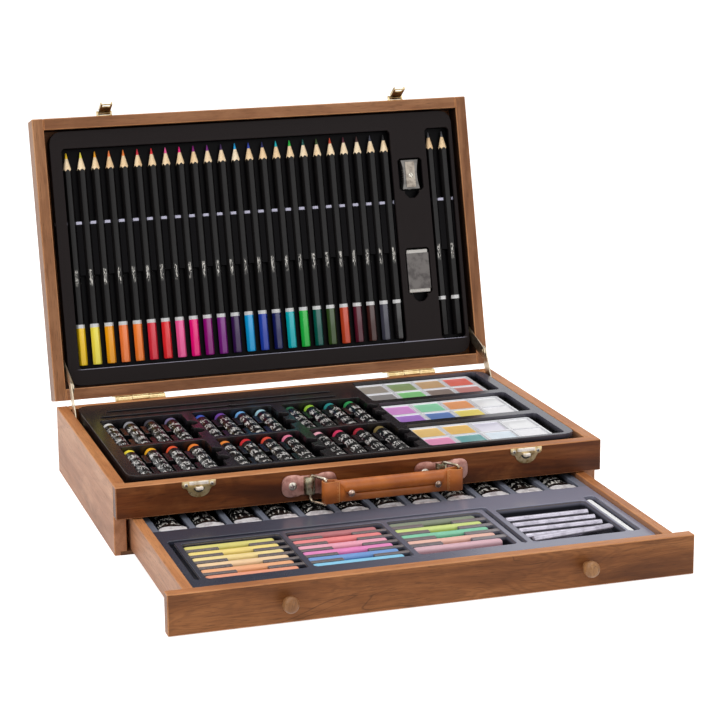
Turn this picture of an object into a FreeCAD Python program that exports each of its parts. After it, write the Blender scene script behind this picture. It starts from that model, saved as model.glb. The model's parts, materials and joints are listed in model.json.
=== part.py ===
import FreeCAD, Part
import math
import os

os.makedirs("parts", exist_ok=True)
V = FreeCAD.Vector

# Hinged wooden artist's case with a fitted lid, an upper tray and a drawer.
# Millimetres, +X to the right, +Y to the back, +Z up.
# The origin is on the floor, under the middle of the closed case.
# Depths are counted from the case's front face, and lid parts are drawn with the lid closed.

# ---------------------------------------------------------------- contents
pencil_count = 24
pencil_pitch = 12.06
pencil_length = 177.0
pencil_flats = 6.8          # width across the hexagon's flats
pencil_point = 16.0         # sharpened length, with the lead
lead_length = 5.0
lead_blunt = 0.3            # radius at the lead's very end
graphite_count = 2
graphite_pitch = 12.4
pastel_length = 69.0
pastel_diameter = 12.0
pastel_pitch = 16.9
pastel_tip = 8.0            # bare pastel beyond its wrapper
wrapper_wall = 0.4
pastel_columns = 3
pastel_rows = 2
pastels_per_cell = 4
stick_length = 65.0
stick_width = 7.2
stick_height = 7.0
stick_pitch = 12.4
stick_counts = [6, 6, 5]    # in each of the drawer's three groups
wide_pitch = 13.4           # of the group with fewer sticks
charcoal_length = 66.0
charcoal_short = 42.0       # the broken stick in the front row
charcoal_diameter = 5.4
charcoal_pitch = 12.6
charcoal_rows = 5
charcoal_tilt = 8.0         # of the loose stick that lies across the front row
white_length = 76.0
white_width = 5.6
tube_count = 12
tube_diameter = 17.0
tube_length = 52.0
tube_shoulder = 3.0
crimp_width = 21.0
crimp_thickness = 1.6
crimp_length = 4.0
cap_diameter = 9.0
cap_length = 8.0
cap_taper = 0.9             # a cap's end, against its start
palette_count = 3
pan_columns = 4
pan_rows = 2
pan_frame = 1.6             # clear plastic between two pans
pan_sink = 3.0              # depth of a pan's well
paint_drop = 0.6            # the paint lies this far below its frame
palette_height = 5.5
small_round_sides = 8       # small repeated rounds are drawn as prisms with this many sides
fine_round_sides = 12       # pins and knuckles with this many
head_sides = 8              # rivets and pin heads with this many
knob_sides = 12
plate_sides = 16            # round ends of the handle's plates

# ---------------------------------------------------------------- trays
tray_wall = 1.2             # thickness of the formed plastic sheet
tray_corner = 10.0
tray_corner_steps = 3       # flats that each outer corner is drawn with
pocket_corner = 2.0         # pockets have their corners cut by this much
tray_border = 9.5           # sheet between the lid tray's left edge and its main recess
lid_recess_depth = 9.0
lid_bar = 5.0               # sheet on each side of the sharpener's column
tool_column = 22.0          # width of the column that holds sharpener and eraser
graphite_recess = 22.0
lid_right_border = 3.12
pencil_side_room = 4.5      # from a recess's side to its first pencil's axis
pencil_end_room = 6.0       # spare length of a pencil's recess
lid_tray_top_border = 14.5
lid_tray_bottom_border = 13.5
cradle_length = 45.0
cradle_place = 0.42         # of a pencil's length, from its blunt end to the cradle
cradle_cover = 1.0          # the cradle rises this far past a pencil's axis
upper_tray_gap = 5.25       # from the upper tray to the case's front and back
side_gap = 4.0              # beside the trays, where the stays fold
tray_rise = 2.5             # the upper tray stands proud of the case's rim
lid_tray_sink = 3.3         # the lid tray lies below the lid's rim
tray_edge = 4.0             # upper tray's edge to its cells, front and back
cell_margin = 9.5           # from the upper tray's left edge to the first cell
cell_wall_gap = 0.6         # beside a cell's first pastel
cell_finger_room = 3.4      # beside its last one
cell_end_room = 4.0         # spare length of a cell
cell_bar = 8.5              # between columns of cells
cell_row_bar = 5.0
cell_depth = 12.5
finger_notch = 7.0          # radius of the notches in a cell's right wall
notch_places = [0.3, 0.6]   # along a cell
rib_shares = [(0.14, 0.36), (0.52, 0.8)]   # ribs between pastels, along a cell
rib_gap = 0.5               # rib to pastel
rib_drop = 3.5              # ribs stop below the tray's surface
palette_bar = 8.0           # cells to palettes
palette_side_room = 1.0     # from a palette's recess to the palette
palette_finger_room = 7.0   # beside its right end
palette_right_border = 8.0
palette_gap = 9.0           # between palettes
palette_sink = 8.0
slot_gap = 6.0              # cells to the first brush slot
slot_pitch = 15.0
slot_width = 5.5
slot_depth = 5.0
slot_inset = 3.0            # from the first cell's left edge
slot_step = 8.0             # the second slot starts this much further right
slot_reach = 0.75           # of the last cell's width
brush_belly = 4.2           # radius of the slot where the brush swells
belly_place = 0.55
slot_back_border = 3.0      # behind the second slot, at least

# ---------------------------------------------------------------- case
board = 9.5
rail_height = 24.5
rail_thickness = 10.0
bay_height = 30.5           # clear height under the front rail
panel = 3.0                 # plywood bottom, shelf and lid top
rebate = 5.0                # how far a panel is let into the boards
arris = 0.5                 # broken edges of the boards
lid_depth_room = 3.0        # lid tray to its frame, front and back together
lid_height = 21.0
lid_gap = 0.8               # between the closed lid and the case's rim
lid_open_angle = 104.5

# ---------------------------------------------------------------- drawer
drawer_board = 7.5
drawer_front_thickness = 9.0
drawer_front_gap = 0.3      # under the rail
drawer_floor_gap = 0.5
drawer_slide_gap = 0.3
drawer_side_gap = 3.0
drawer_back_gap = 2.0
drawer_panel = 2.5
drawer_panel_height = 2.0   # from the drawer's lower edge up to its bottom panel
drawer_groove = 3.0
drawer_tray_drop = 3.5      # from the drawer's top edge down to its tray
drawer_tray_gap = 0.5
drawer_tray_inset = 2.5     # tray to the back of the drawer's front
drawer_out = 160.0
stick_first_depth = 38.5    # of the front row of sticks
wide_first_depth = 47.9     # of the front row in the group with fewer sticks
stick_inset = 15.5          # drawer tray's left edge to the first group's sticks
group_gap = 11.2            # between groups
group_room = 1.0            # left of a group's sticks
group_finger_room = 6.0     # right of them
stick_sink = 8.0
ridge_gap = 0.5             # ridge to stick
ridge_drop = 1.2            # ridges stop below the tray's surface
ridge_left_share = 0.36     # of a stick's length
ridge_right_share = 0.3
channel_width = 4.0         # of the groove round the three groups
channel_depth = 4.0
channel_wall = 1.6
charcoal_gap = 4.5          # groove to the charcoal's recess
charcoal_end_gap = 1.0      # from the recess's left side to the sticks
charcoal_finger_room = 5.0
charcoal_rise = 0.5         # charcoal lies this far below the tray's surface
charcoal_ridges = [(0.15, 0.35), (0.65, 0.85)]   # what carries a stick, along its length
loose_margin = 1.5          # front wall to the loose stick
white_gap = 2.1             # charcoal's recess to the long white bar's slot, at least
white_inset = 14.5          # right edge of the drawer's tray to that slot's left side
white_slot = 9.0
white_room = 3.0            # before the bar
white_end_room = 4.0        # and behind it
tube_gap = 34.0             # groups to tubes
tube_side_room = 4.0
tube_end_room = 3.0
tube_bar = 4.6              # between tube pockets
tube_back_border = 3.0      # behind them, at least
tube_rise = 1.0             # tubes stand above the tray's surface
knob_spacing = 216.0
knob_diameter = 12.0
knob_length = 13.0
knob_neck = 7.0
knob_lift = 1.0             # above the drawer front's middle

# ---------------------------------------------------------------- metalwork
hinge_spacing = 238.0
hinge_length = 42.0
hinge_leaf = 1.0
leaf_height = 12.0
hinge_offset = 3.0          # axis behind the case's back face
knuckle_radius = 2.6
pin_radius = 1.2
running_gap = 0.06
knuckle_gap = 0.3
latch_spacing = 256.0
catch_width = 25.5
catch_height = 12.5
catch_sheet = 1.0
catch_drop = 0.4            # catch plate's top edge below the rim
catch_shoulder = 0.38       # of its height, down to where it narrows
catch_foot = 0.62           # of its width, where the round foot starts
tongue_drop = 6.6           # catch plate's top edge down to its tongue
tongue_width = 6.1
tongue_height = 2.6
tongue_rise = 2.4           # the catch's tongue above its plate
hasp_height = 6.5           # hasp's pin above the lid's rim
hasp_width = 10.5
hasp_length = 15.5
hasp_sheet = 1.0
hasp_pin = 0.8
hasp_eye_wall = 0.8
hasp_gap = 0.3              # between the hasp and its bracket, and round the tongue
hasp_cheek = 1.6            # the hasp's turned-out edges
hasp_cheek_start = 3.0      # below its pin
hasp_rest_angle = 20.0      # the hasp stands off its plate by this much
bracket_sheet = 1.0
bracket_ear = 1.2
bracket_height = 7.0        # above its pin
bracket_foot = 1.5          # and below
stay_width = 10.0
stay_sheet = 0.9
stay_layer_gap = 0.3
stay_pin = 1.6
stay_head = 3.2
stay_head_height = 0.4
stay_back = 33.5            # from the hinge axis forward to the case's pivot
stay_low = 10.0             # and down
stay_lid_back = 31.3        # from the hinge axis forward to the lid's pivot, lid closed
stay_lid_high = 10.4        # and up

# ---------------------------------------------------------------- handle
handle_centre = 7.5
handle_plate_spacing = 103.5
handle_plate_length = 43.0
handle_plate_width = 17.0
handle_plate_height = 43.0  # centre above the floor
handle_plate_sheet = 1.2
handle_plate_waist = 0.82   # of its width
saddle_height = 12.4
saddle_width = 9.0
saddle_wall = 1.8
saddle_bevel = 1.2
ring_wire = 1.1             # radius
ring_off = 0.4              # ring to plate
ring_reach = 16.0
ring_height = 20.0
ring_corner = 1.0           # cut off the loop's corners
ring_centre_height = 41.0
ring_lean = 30.0            # rings lean to the right by this much from straight out
strap_height = 16.4
strap_thickness = 5.0
strap_leather = 1.8
strap_roll = 5.2            # radius of the padded upper half
strap_roll_inset = 0.11     # of the strap's length
strap_roll_out = 0.5
rivet_radius = 2.6
rivet_height = 1.7
rivet_shank = 1.2
rivet_spacing = 67.5
rivet_drop = 1.0            # below the rings' centre
open_pivot_gap = 0.3

# ---------------------------------------------------------------- sharpener and eraser
sharpener_length = 25.0
sharpener_width = 15.5
sharpener_waist = 12.0
sharpener_height = 8.0
sharpener_mouth = 3.9       # radius of its bore
sharpener_throat = 0.8
sharpener_axis = 4.2        # bore above the recess's floor
sharpener_room = 28.0       # length of its recess
sharpener_place = 53.0      # recess's lower end, from the pencils' upper end
blade_width = 8.4
blade_sheet = 0.5
blade_inset = 1.5
eraser_length = 37.0
eraser_height = 8.6
eraser_room = 40.0
eraser_place = 0.22         # of the pencils' recess, from its lower end
sleeve_sheet = 0.5
sleeve_inset = 3.0          # bare eraser at each end
tool_margin = 1.0           # eraser to its recess, each side
tool_notch = 7.0            # radius of the finger notch below each tool

# ---------------------------------------------------------------- sizes that follow
lid_recess_width = (pencil_count - 1) * pencil_pitch + 2 * pencil_side_room
lid_filling_width = (tray_border + lid_recess_width + lid_bar + tool_column + lid_bar + graphite_recess
                     + lid_right_border)
groups_width = len(stick_counts) * stick_length + (len(stick_counts) - 1) * group_gap + group_finger_room
channel_span = channel_wall + 2 * tray_wall + channel_width
drawer_filling_width = (stick_inset + groups_width + channel_span + charcoal_gap + charcoal_length
                        + charcoal_finger_room + white_gap + white_inset)
drawer_side_room = drawer_side_gap + drawer_board + drawer_tray_gap
tray_width = max(lid_filling_width, drawer_filling_width + 2 * (drawer_side_room - side_gap))
inner_width = tray_width + 2 * side_gap
case_width = inner_width + 2 * board
pencil_recess = pencil_length + pencil_end_room
lid_filling_depth = lid_tray_bottom_border + pencil_recess + lid_tray_top_border + lid_depth_room
cell_length = pastel_length + cell_end_room
cells_depth = pastel_rows * (cell_length + cell_row_bar) - cell_row_bar
upper_filling_depth = (2 * upper_tray_gap + tray_edge + cells_depth + slot_gap + slot_pitch + slot_width
                       + slot_back_border)
stick_bed = max(stick_counts) * stick_pitch + 2 * ridge_gap
stick_front = stick_first_depth - stick_pitch / 2 - ridge_gap
drawer_filling_depth = (stick_front + stick_bed + tube_gap + tube_length + tube_end_room + tube_back_border
                        + drawer_tray_gap + drawer_board + drawer_back_gap)
case_depth = max(lid_filling_depth + 2 * board, upper_filling_depth + rail_thickness + board,
                 drawer_filling_depth + board)
lid_tray_depth = case_depth - 2 * board - lid_depth_room
case_height = bay_height + rail_height
front_y = -case_depth / 2
back_y = case_depth / 2
half = case_width / 2
inner = inner_width / 2
tray_half = tray_width / 2
stop_y = front_y + rail_thickness
back_inner = back_y - board
axis_y = back_y + hinge_offset
axis_z = case_height + lid_gap / 2
lid_z = case_height + lid_gap
lid_top = lid_z + lid_height
tray_z = case_height + tray_rise
lid_tray_z = lid_z + lid_tray_sink
shelf_z = bay_height + drawer_front_gap
shelf_top = shelf_z + panel
upper_tray_depth = case_depth - rail_thickness - board - 2 * upper_tray_gap
drawer_low = panel + drawer_slide_gap
drawer_top = bay_height - drawer_front_gap - drawer_floor_gap
drawer_half = inner - drawer_side_gap
drawer_inner = drawer_half - drawer_board
drawer_length = case_depth - board - drawer_back_gap
drawer_floor_z = drawer_low + drawer_panel_height
drawer_floor = drawer_floor_z + drawer_panel
drawer_tray_z = drawer_top - drawer_tray_drop


# ---------------------------------------------------------------- helpers
def box(x0, x1, y0, y1, z0, z1):
    return Part.makeBox(x1 - x0, y1 - y0, z1 - z0, V(x0, y0, z0))


def depth(distance):
    """Y of a point at this distance behind the case's front face."""
    return front_y + distance


def board_box(x0, x1, y0, y1, z0, z1):
    """A sawn board with its edges broken."""
    plain = box(x0, x1, y0, y1, z0, z1)
    return plain.makeChamfer(arris, plain.Edges)


def polygon_face(points):
    return Part.Face(Part.makePolygon(points + points[:1]))


def cut_corner_block(x0, x1, y0, y1, z0, z1, corner, steps=1):
    """A block whose upright edges are rounded, each by this many flats."""
    points = []
    for cx, cy, start in ((x1 - corner, y0 + corner, -90), (x1 - corner, y1 - corner, 0),
                          (x0 + corner, y1 - corner, 90), (x0 + corner, y0 + corner, 180)):
        for step in range(steps + 1):
            angle = math.radians(start + 90 * step / steps)
            points.append(V(cx + corner * math.cos(angle), cy + corner * math.sin(angle), z0))
    return polygon_face(points).extrude(V(0, 0, z1 - z0))


def rod(start, end, radius):
    axis = V(*end) - V(*start)
    return Part.makeCylinder(radius, axis.Length, V(*start), axis)


def skin(sections):
    """A closed solid over rings of points, each ring with the same number of points."""
    faces = [polygon_face(sections[0]), polygon_face(sections[-1])]
    for lower, upper in zip(sections, sections[1:]):
        for i in range(len(lower)):
            j = (i + 1) % len(lower)
            faces.append(polygon_face([lower[i], lower[j], upper[j]]))
            faces.append(polygon_face([lower[i], upper[j], upper[i]]))
    return Part.Solid(Part.Shell(faces)).removeSplitter()


def faceted(rings, centre, sides, turned=True):
    """A prism or taper along +Y: rings are (distance, half width, half height)."""
    shift = 180 / sides if turned else 0
    angles = [math.radians(shift + 360 * i / sides) for i in range(sides)]
    return skin([[V(centre[0] + w * math.cos(a), centre[1] + y, centre[2] + h * math.sin(a)) for a in angles]
                 for y, w, h in rings])


def prism(start, end, radius, sides):
    """A rod with flat sides, its corners on the radius."""
    axis = V(*end) - V(*start)
    turn = FreeCAD.Rotation(V(0, 0, 1), axis)
    corners = [V(*start) + turn.multVec(V(radius * math.cos(math.radians(360 * (i + 0.5) / sides)),
                                          radius * math.sin(math.radians(360 * (i + 0.5) / sides)), 0))
               for i in range(sides)]
    return polygon_face(corners).extrude(axis)


def fuse(shapes):
    result = shapes[0]
    if len(shapes) > 1:
        result = shapes[0].multiFuse(shapes[1:])
    return result.removeSplitter()


def moved(shape, x=0.0, y=0.0, z=0.0):
    copy = shape.copy()
    copy.translate(V(x, y, z))
    return copy


def mirrored(shape, sign):
    """The right-hand piece for sign 1, and its mirror image for sign -1."""
    return shape if sign > 0 else shape.mirror(V(0, 0, 0), V(1, 0, 0))


def open_lid(shape):
    """Turns a lid part from closed to its open rest pose."""
    copy = shape.copy()
    copy.rotate(V(0, axis_y, axis_z), V(1, 0, 0), -lid_open_angle)
    return copy


def pull_drawer(shape):
    return moved(shape, y=-drawer_out)


nodes = {}


def keep(name, shapes, place=None):
    """Stores a node, with every solid put in its rest place."""
    parts = shapes if isinstance(shapes, list) else [shapes]
    if place:
        parts = [place(part) for part in parts]
    nodes[name] = parts[0] if len(parts) == 1 else Part.makeCompound(parts)


# ---------------------------------------------------------------- formed trays
def pocket(x0, x1, y0, y1, top, sink, notches=()):
    """A tray pocket: its hollow, and the cup of sheet round it. A negative sink goes upwards."""
    wall = math.copysign(tray_wall, sink)
    z_floor = top - sink
    z_under = z_floor - wall
    hollow = cut_corner_block(x0, x1, y0, y1, min(top, z_floor), max(top, z_floor), pocket_corner)
    cup = box(x0 - tray_wall, x1 + tray_wall, y0 - tray_wall, y1 + tray_wall,
              min(top, z_under), max(top, z_under))
    for nx, ny, r in notches:
        hollow = hollow.fuse(prism((nx, ny, z_floor), (nx, ny, top), r, small_round_sides))
        reach = r + tray_wall
        cup = cup.fuse(box(nx - reach, nx + reach, ny - reach, ny + reach,
                           min(top, z_under), max(top, z_under)))
    return hollow, cup


def formed_tray(x0, x1, y0, y1, top, foot, pockets):
    """A vacuum-formed tray: a skirted sheet with cups hanging from it."""
    wall = math.copysign(tray_wall, top - foot)
    outside = cut_corner_block(x0, x1, y0, y1, min(foot, top), max(foot, top), tray_corner, tray_corner_steps)
    inside = cut_corner_block(x0 + tray_wall, x1 - tray_wall, y0 + tray_wall, y1 - tray_wall,
                              min(foot, top - wall), max(foot, top - wall), tray_corner - tray_wall,
                              tray_corner_steps)
    shell = outside.cut(inside).multiFuse([cup for _, cup in pockets])
    return shell.cut(Part.makeCompound([hollow for hollow, _ in pockets])).removeSplitter()


# ---------------------------------------------------------------- case boards
shelf_cut = box(-inner - rebate, inner + rebate, stop_y - rebate, back_inner + rebate, shelf_z, shelf_top)
bottom_cut = box(-inner - rebate, inner + rebate, stop_y, back_inner + rebate, 0, panel)


def side_board(sign, y0, z0, z1):
    x0, x1 = sorted((sign * inner, sign * half))
    return board_box(x0, x1, y0, back_y, z0, z1)


keep("case_side_left", side_board(-1, stop_y, 0, case_height).cut(shelf_cut).cut(bottom_cut))
keep("case_side_right", side_board(1, stop_y, 0, case_height).cut(shelf_cut).cut(bottom_cut))
keep("case_back", board_box(-inner, inner, back_inner, back_y, 0, case_height).cut(shelf_cut).cut(bottom_cut))
keep("front_rail", board_box(-half, half, front_y, stop_y, bay_height, case_height).cut(shelf_cut))
keep("case_bottom", bottom_cut.copy())
keep("tray_shelf", shelf_cut.copy())

# ---------------------------------------------------------------- upper tray and what lies in it
upper_y0 = stop_y + upper_tray_gap
upper_y1 = upper_y0 + upper_tray_depth
cell_width = cell_wall_gap + pastel_diameter + (pastels_per_cell - 1) * pastel_pitch + cell_finger_room
cell_y = [upper_y0 + tray_edge + row * (cell_length + cell_row_bar) for row in range(pastel_rows)]
cell_x = [-tray_half + cell_margin + column * (cell_width + cell_bar) for column in range(pastel_columns)]
pastel_radius = pastel_diameter / 2
cell_floor = tray_z - cell_depth
pastel_z = cell_floor + pastel_radius * math.cos(math.radians(180 / small_round_sides))
rib_half = (pastel_pitch - pastel_diameter) / 2 - rib_gap
upper_pockets = []
pastel_places = []
ribs = []
for y0 in cell_y:
    for x0 in cell_x:
        notches = [(x0 + cell_width, y0 + cell_length * share, finger_notch) for share in notch_places]
        upper_pockets.append(pocket(x0, x0 + cell_width, y0, y0 + cell_length, tray_z, cell_depth, notches))
        first = x0 + cell_wall_gap + pastel_radius
        for index in range(pastels_per_cell):
            pastel_places.append((first + index * pastel_pitch, y0 + cell_end_room / 2))
        for index in range(pastels_per_cell - 1):
            middle = first + (index + 0.5) * pastel_pitch
            for low, high in rib_shares:
                ribs.append(box(middle - rib_half, middle + rib_half, y0 + low * cell_length,
                                y0 + high * cell_length, cell_floor, tray_z - rib_drop))

palette_x0 = cell_x[-1] + cell_width + palette_bar
palette_x1 = tray_half - palette_right_border
palette_length = (upper_tray_depth - 2 * tray_edge - (palette_count - 1) * palette_gap) / palette_count
palette_y = [upper_y0 + tray_edge + index * (palette_length + palette_gap) for index in range(palette_count)]
for y0 in palette_y:
    upper_pockets.append(pocket(palette_x0, palette_x1, y0, y0 + palette_length, tray_z, palette_sink))

slot_y = cell_y[-1] + cell_length + slot_gap
for index in range(2):
    y0 = slot_y + index * slot_pitch
    x0 = cell_x[0] + slot_inset + index * slot_step
    x1 = cell_x[-1] + slot_reach * cell_width
    belly = (x0 + belly_place * (x1 - x0), y0 + slot_width / 2, brush_belly)
    upper_pockets.append(pocket(x0, x1, y0, y0 + slot_width, tray_z, slot_depth, [belly]))

upper_tray = formed_tray(-tray_half, tray_half, upper_y0, upper_y1, tray_z, shelf_top, upper_pockets)
keep("upper_tray", upper_tray.multiFuse(ribs).removeSplitter())

# A pastel's wrapped length is drawn solid, and its bare tip seats on the wrapper's end.
wrapped = pastel_length - pastel_tip
core = pastel_radius - wrapper_wall
wrapper_rings = [(0, pastel_radius, pastel_radius), (wrapped, pastel_radius, pastel_radius)]
tip_rings = [(wrapped, core, core), (pastel_length, core, core)]
for name, rings in (("pastel_sticks", tip_rings), ("pastel_wrappers", wrapper_rings)):
    keep(name, [faceted(rings, (x, y, pastel_z), small_round_sides) for x, y in pastel_places])

palettes = []
paints = []
frame_x0 = palette_x0 + palette_side_room
frame_x1 = palette_x1 - palette_finger_room
frame_length = palette_length - 2 * palette_side_room
pan_width = (frame_x1 - frame_x0 - (pan_columns + 1) * pan_frame) / pan_columns
pan_length = (frame_length - (pan_rows + 1) * pan_frame) / pan_rows
palette_floor = tray_z - palette_sink
palette_top = palette_floor + palette_height
pan_floor = palette_top - pan_sink
for y0 in palette_y:
    frame_y0 = y0 + palette_side_room
    frame = cut_corner_block(frame_x0, frame_x1, frame_y0, frame_y0 + frame_length,
                             palette_floor, palette_top, pocket_corner)
    wells = []
    for column in range(pan_columns):
        for row in range(pan_rows):
            x = frame_x0 + pan_frame + column * (pan_width + pan_frame)
            y = frame_y0 + pan_frame + row * (pan_length + pan_frame)
            wells.append(box(x, x + pan_width, y, y + pan_length, pan_floor, palette_top))
            paints.append(box(x, x + pan_width, y, y + pan_length, pan_floor, palette_top - paint_drop))
    palettes.append(frame.cut(Part.makeCompound(wells)))
keep("palette_trays", palettes)
keep("paint_pans", paints)

# ---------------------------------------------------------------- lid
lid_inner_y0 = front_y + board
panel_z = lid_top - panel
lid_cut = box(-inner - rebate, inner + rebate, lid_inner_y0 - rebate, back_inner + rebate, panel_z, lid_top)
keep("lid_side_left", side_board(-1, front_y, lid_z, lid_top).cut(lid_cut), open_lid)
keep("lid_side_right", side_board(1, front_y, lid_z, lid_top).cut(lid_cut), open_lid)
for name, y0, y1 in (("lid_front_board", front_y, lid_inner_y0), ("lid_back_board", back_inner, back_y)):
    keep(name, board_box(-inner, inner, y0, y1, lid_z, lid_top).cut(lid_cut), open_lid)
keep("lid_panel", lid_cut.copy(), open_lid)

# The lid's tray is drawn face down, as it lies with the lid closed.
lid_tray_y0 = lid_inner_y0 + lid_depth_room / 2
lid_tray_y1 = lid_tray_y0 + lid_tray_depth
recess_y1 = lid_tray_y1 - lid_tray_bottom_border
recess_y0 = recess_y1 - pencil_recess
recess_x0 = -tray_half + tray_border
recess_x1 = recess_x0 + lid_recess_width
tool_x0 = recess_x1 + lid_bar
tool_x1 = tool_x0 + tool_column
tool_x = (tool_x0 + tool_x1) / 2
graphite_x0 = tool_x1 + lid_bar
graphite_x1 = graphite_x0 + graphite_recess
graphite_x = (graphite_x0 + graphite_x1) / 2
recess_floor = lid_tray_z + lid_recess_depth
eraser_y1 = recess_y1 - eraser_place * pencil_recess
eraser_y0 = eraser_y1 - eraser_room
sharpener_y1 = recess_y0 + sharpener_place
sharpener_y0 = sharpener_y1 - sharpener_room
lid_pockets = [pocket(recess_x0, recess_x1, recess_y0, recess_y1, lid_tray_z, -lid_recess_depth),
               pocket(graphite_x0, graphite_x1, recess_y0, recess_y1, lid_tray_z, -lid_recess_depth),
               pocket(tool_x0, tool_x1, sharpener_y0, sharpener_y1, lid_tray_z, -lid_recess_depth,
                      [(tool_x, sharpener_y1, tool_notch)]),
               pocket(tool_x0, tool_x1, eraser_y0, eraser_y1, lid_tray_z, -lid_recess_depth,
                      [(tool_x, eraser_y1, tool_notch)])]

pencil_z = recess_floor - pencil_flats / 2
pencil_across = pencil_flats / math.sqrt(3)
pencil_xs = [recess_x0 + pencil_side_room + index * pencil_pitch for index in range(pencil_count)]
graphite_first = graphite_x - (graphite_count - 1) * graphite_pitch / 2
graphite_xs = [graphite_first + index * graphite_pitch for index in range(graphite_count)]
pencil_end_y = recess_y1 - pencil_end_room / 2
cradle_y1 = pencil_end_y - cradle_place * pencil_length
cradle_y0 = cradle_y1 - cradle_length


def pencil_part(x, rings):
    """A hexagonal length of pencil; rings are (distance from the blunt end, corner radius)."""
    whole = faceted([(y, r, r) for y, r in rings], (x, 0, pencil_z), 6, False)
    whole.rotate(V(x, 0, pencil_z), V(0, 0, 1), 180)
    return moved(whole, y=pencil_end_y)


def cradle(x0, x1, xs):
    """A raised bridge across a recess, grooved for each pencil."""
    bridge = box(x0, x1, cradle_y0, cradle_y1, pencil_z - cradle_cover, recess_floor)
    start = pencil_end_y - cradle_y1 - 1
    groove_radius = pencil_across + running_gap
    groove_rings = [(start, groove_radius), (start + cradle_length + 2, groove_radius)]
    grooves = [pencil_part(x, groove_rings) for x in xs]
    return bridge.cut(Part.makeCompound(grooves)).Solids


lid_tray = formed_tray(-tray_half, tray_half, lid_tray_y0, lid_tray_y1, lid_tray_z, panel_z, lid_pockets)
cradles = cradle(recess_x0, recess_x1, pencil_xs) + cradle(graphite_x0, graphite_x1, graphite_xs)
keep("lid_tray", lid_tray.multiFuse(cradles).removeSplitter(), open_lid)

point_start = pencil_length - pencil_point
lead_start = pencil_length - lead_length
lead_radius = pencil_across * lead_length / pencil_point
pencil_pieces = {"pencil_barrels": [(0, pencil_across), (point_start, pencil_across)],
                 "pencil_tips": [(point_start, pencil_across), (lead_start, lead_radius)],
                 "pencil_leads": [(lead_start, lead_radius), (pencil_length, lead_blunt)]}
for name, rings in pencil_pieces.items():
    keep(name, [pencil_part(x, rings) for x in pencil_xs + graphite_xs], open_lid)

# Sharpener: a waisted metal wedge with a tapered bore for the pencil and a blade on its face.
sharpener_y = (sharpener_y0 + sharpener_y1) / 2
block_y0 = sharpener_y - sharpener_length / 2
block_y1 = sharpener_y + sharpener_length / 2
wide = sharpener_width / 2
waist = sharpener_waist / 2
outline = []
for side, start, end in ((1, block_y0, block_y1), (-1, block_y1, block_y0)):
    a = V(tool_x + side * wide, start, recess_floor)
    b = V(tool_x + side * waist, sharpener_y, recess_floor)
    c = V(tool_x + side * wide, end, recess_floor)
    outline.append(Part.Arc(a, b, c).toShape())
    outline.append(Part.LineSegment(c, V(tool_x - side * wide, end, recess_floor)).toShape())
wedge = Part.Face(Part.Wire(outline)).extrude(V(0, 0, -sharpener_height))
bore_rings = [(0, sharpener_throat, sharpener_throat), (sharpener_length, sharpener_mouth, sharpener_mouth)]
bore = faceted(bore_rings, (tool_x, block_y0, recess_floor - sharpener_axis), fine_round_sides)
keep("sharpener_body", wedge.cut(bore), open_lid)
blade_z = recess_floor - sharpener_height
keep("sharpener_blade", box(tool_x - blade_width / 2, tool_x + blade_width / 2, block_y0 + blade_inset,
                            block_y1 - blade_inset, blade_z - blade_sheet, blade_z), open_lid)

# Eraser: a block in a sleeve that leaves its two ends bare.
eraser_y = (eraser_y0 + eraser_y1) / 2
sleeve_half = tool_column / 2 - tool_margin
eraser_half = sleeve_half - sleeve_sheet
eraser_low = recess_floor - eraser_height
block = (tool_x - eraser_half, tool_x + eraser_half, eraser_y - eraser_length / 2,
         eraser_y + eraser_length / 2, eraser_low + sleeve_sheet, recess_floor - sleeve_sheet)
sleeve = box(tool_x - sleeve_half, tool_x + sleeve_half, block[2] + sleeve_inset, block[3] - sleeve_inset,
             eraser_low, recess_floor)
keep("eraser", board_box(*block), open_lid)
keep("eraser_sleeve", sleeve.cut(box(*block)), open_lid)

# ---------------------------------------------------------------- hinges
hinge_xs = [-hinge_spacing / 2, hinge_spacing / 2]
knuckle = hinge_length / 3
outer_knuckles = [(-1.5 * knuckle, -0.5 * knuckle), (0.5 * knuckle, 1.5 * knuckle)]
middle_knuckle = [(-0.5 * knuckle, 0.5 * knuckle)]


def along_axis(shape, x, a, b, radius, *sides):
    """A rod or prism on the hinge axis."""
    return shape((x + a, axis_y, axis_z), (x + b, axis_y, axis_z), radius, *sides)


def hinge_leaf_shape(x, own, other, sign):
    """A leaf on the back face with its knuckles, below the axis for sign -1 and above it for +1."""
    z0, z1 = sorted((axis_z, axis_z + sign * (hinge_offset + leaf_height)))
    web_z0, web_z1 = sorted((axis_z, axis_z + sign * knuckle_radius))
    leaf = box(x - hinge_length / 2, x + hinge_length / 2, back_y, back_y + hinge_leaf, z0, z1)
    webs = [box(x + a, x + b, back_y, axis_y, web_z0, web_z1) for a, b in own]
    barrels = [along_axis(prism, x, a, b, knuckle_radius, fine_round_sides) for a, b in own]
    body = fuse([leaf] + webs + barrels)
    reach = knuckle_radius + knuckle_gap
    clear = [box(x + a - knuckle_gap / 2, x + b + knuckle_gap / 2, back_y - 1, axis_y + reach,
                 axis_z - reach, axis_z + reach) for a, b in other]
    # The pin turns in the lid's knuckle, and the case's knuckles hold it.
    bore = (rod,) if sign > 0 else (prism, fine_round_sides)
    bores = [along_axis(bore[0], x, a - 1, b + 1, pin_radius + running_gap, *bore[1:]) for a, b in own]
    return body.cut(Part.makeCompound(clear + bores)).removeSplitter()


keep("hinge_leaves_case", [hinge_leaf_shape(x, outer_knuckles, middle_knuckle, -1) for x in hinge_xs])
keep("hinge_leaves_lid", [hinge_leaf_shape(x, middle_knuckle, outer_knuckles, 1) for x in hinge_xs], open_lid)
keep("hinge_pins", [along_axis(prism, x, -hinge_length / 2, hinge_length / 2, pin_radius, fine_round_sides)
                    for x in hinge_xs])

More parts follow.
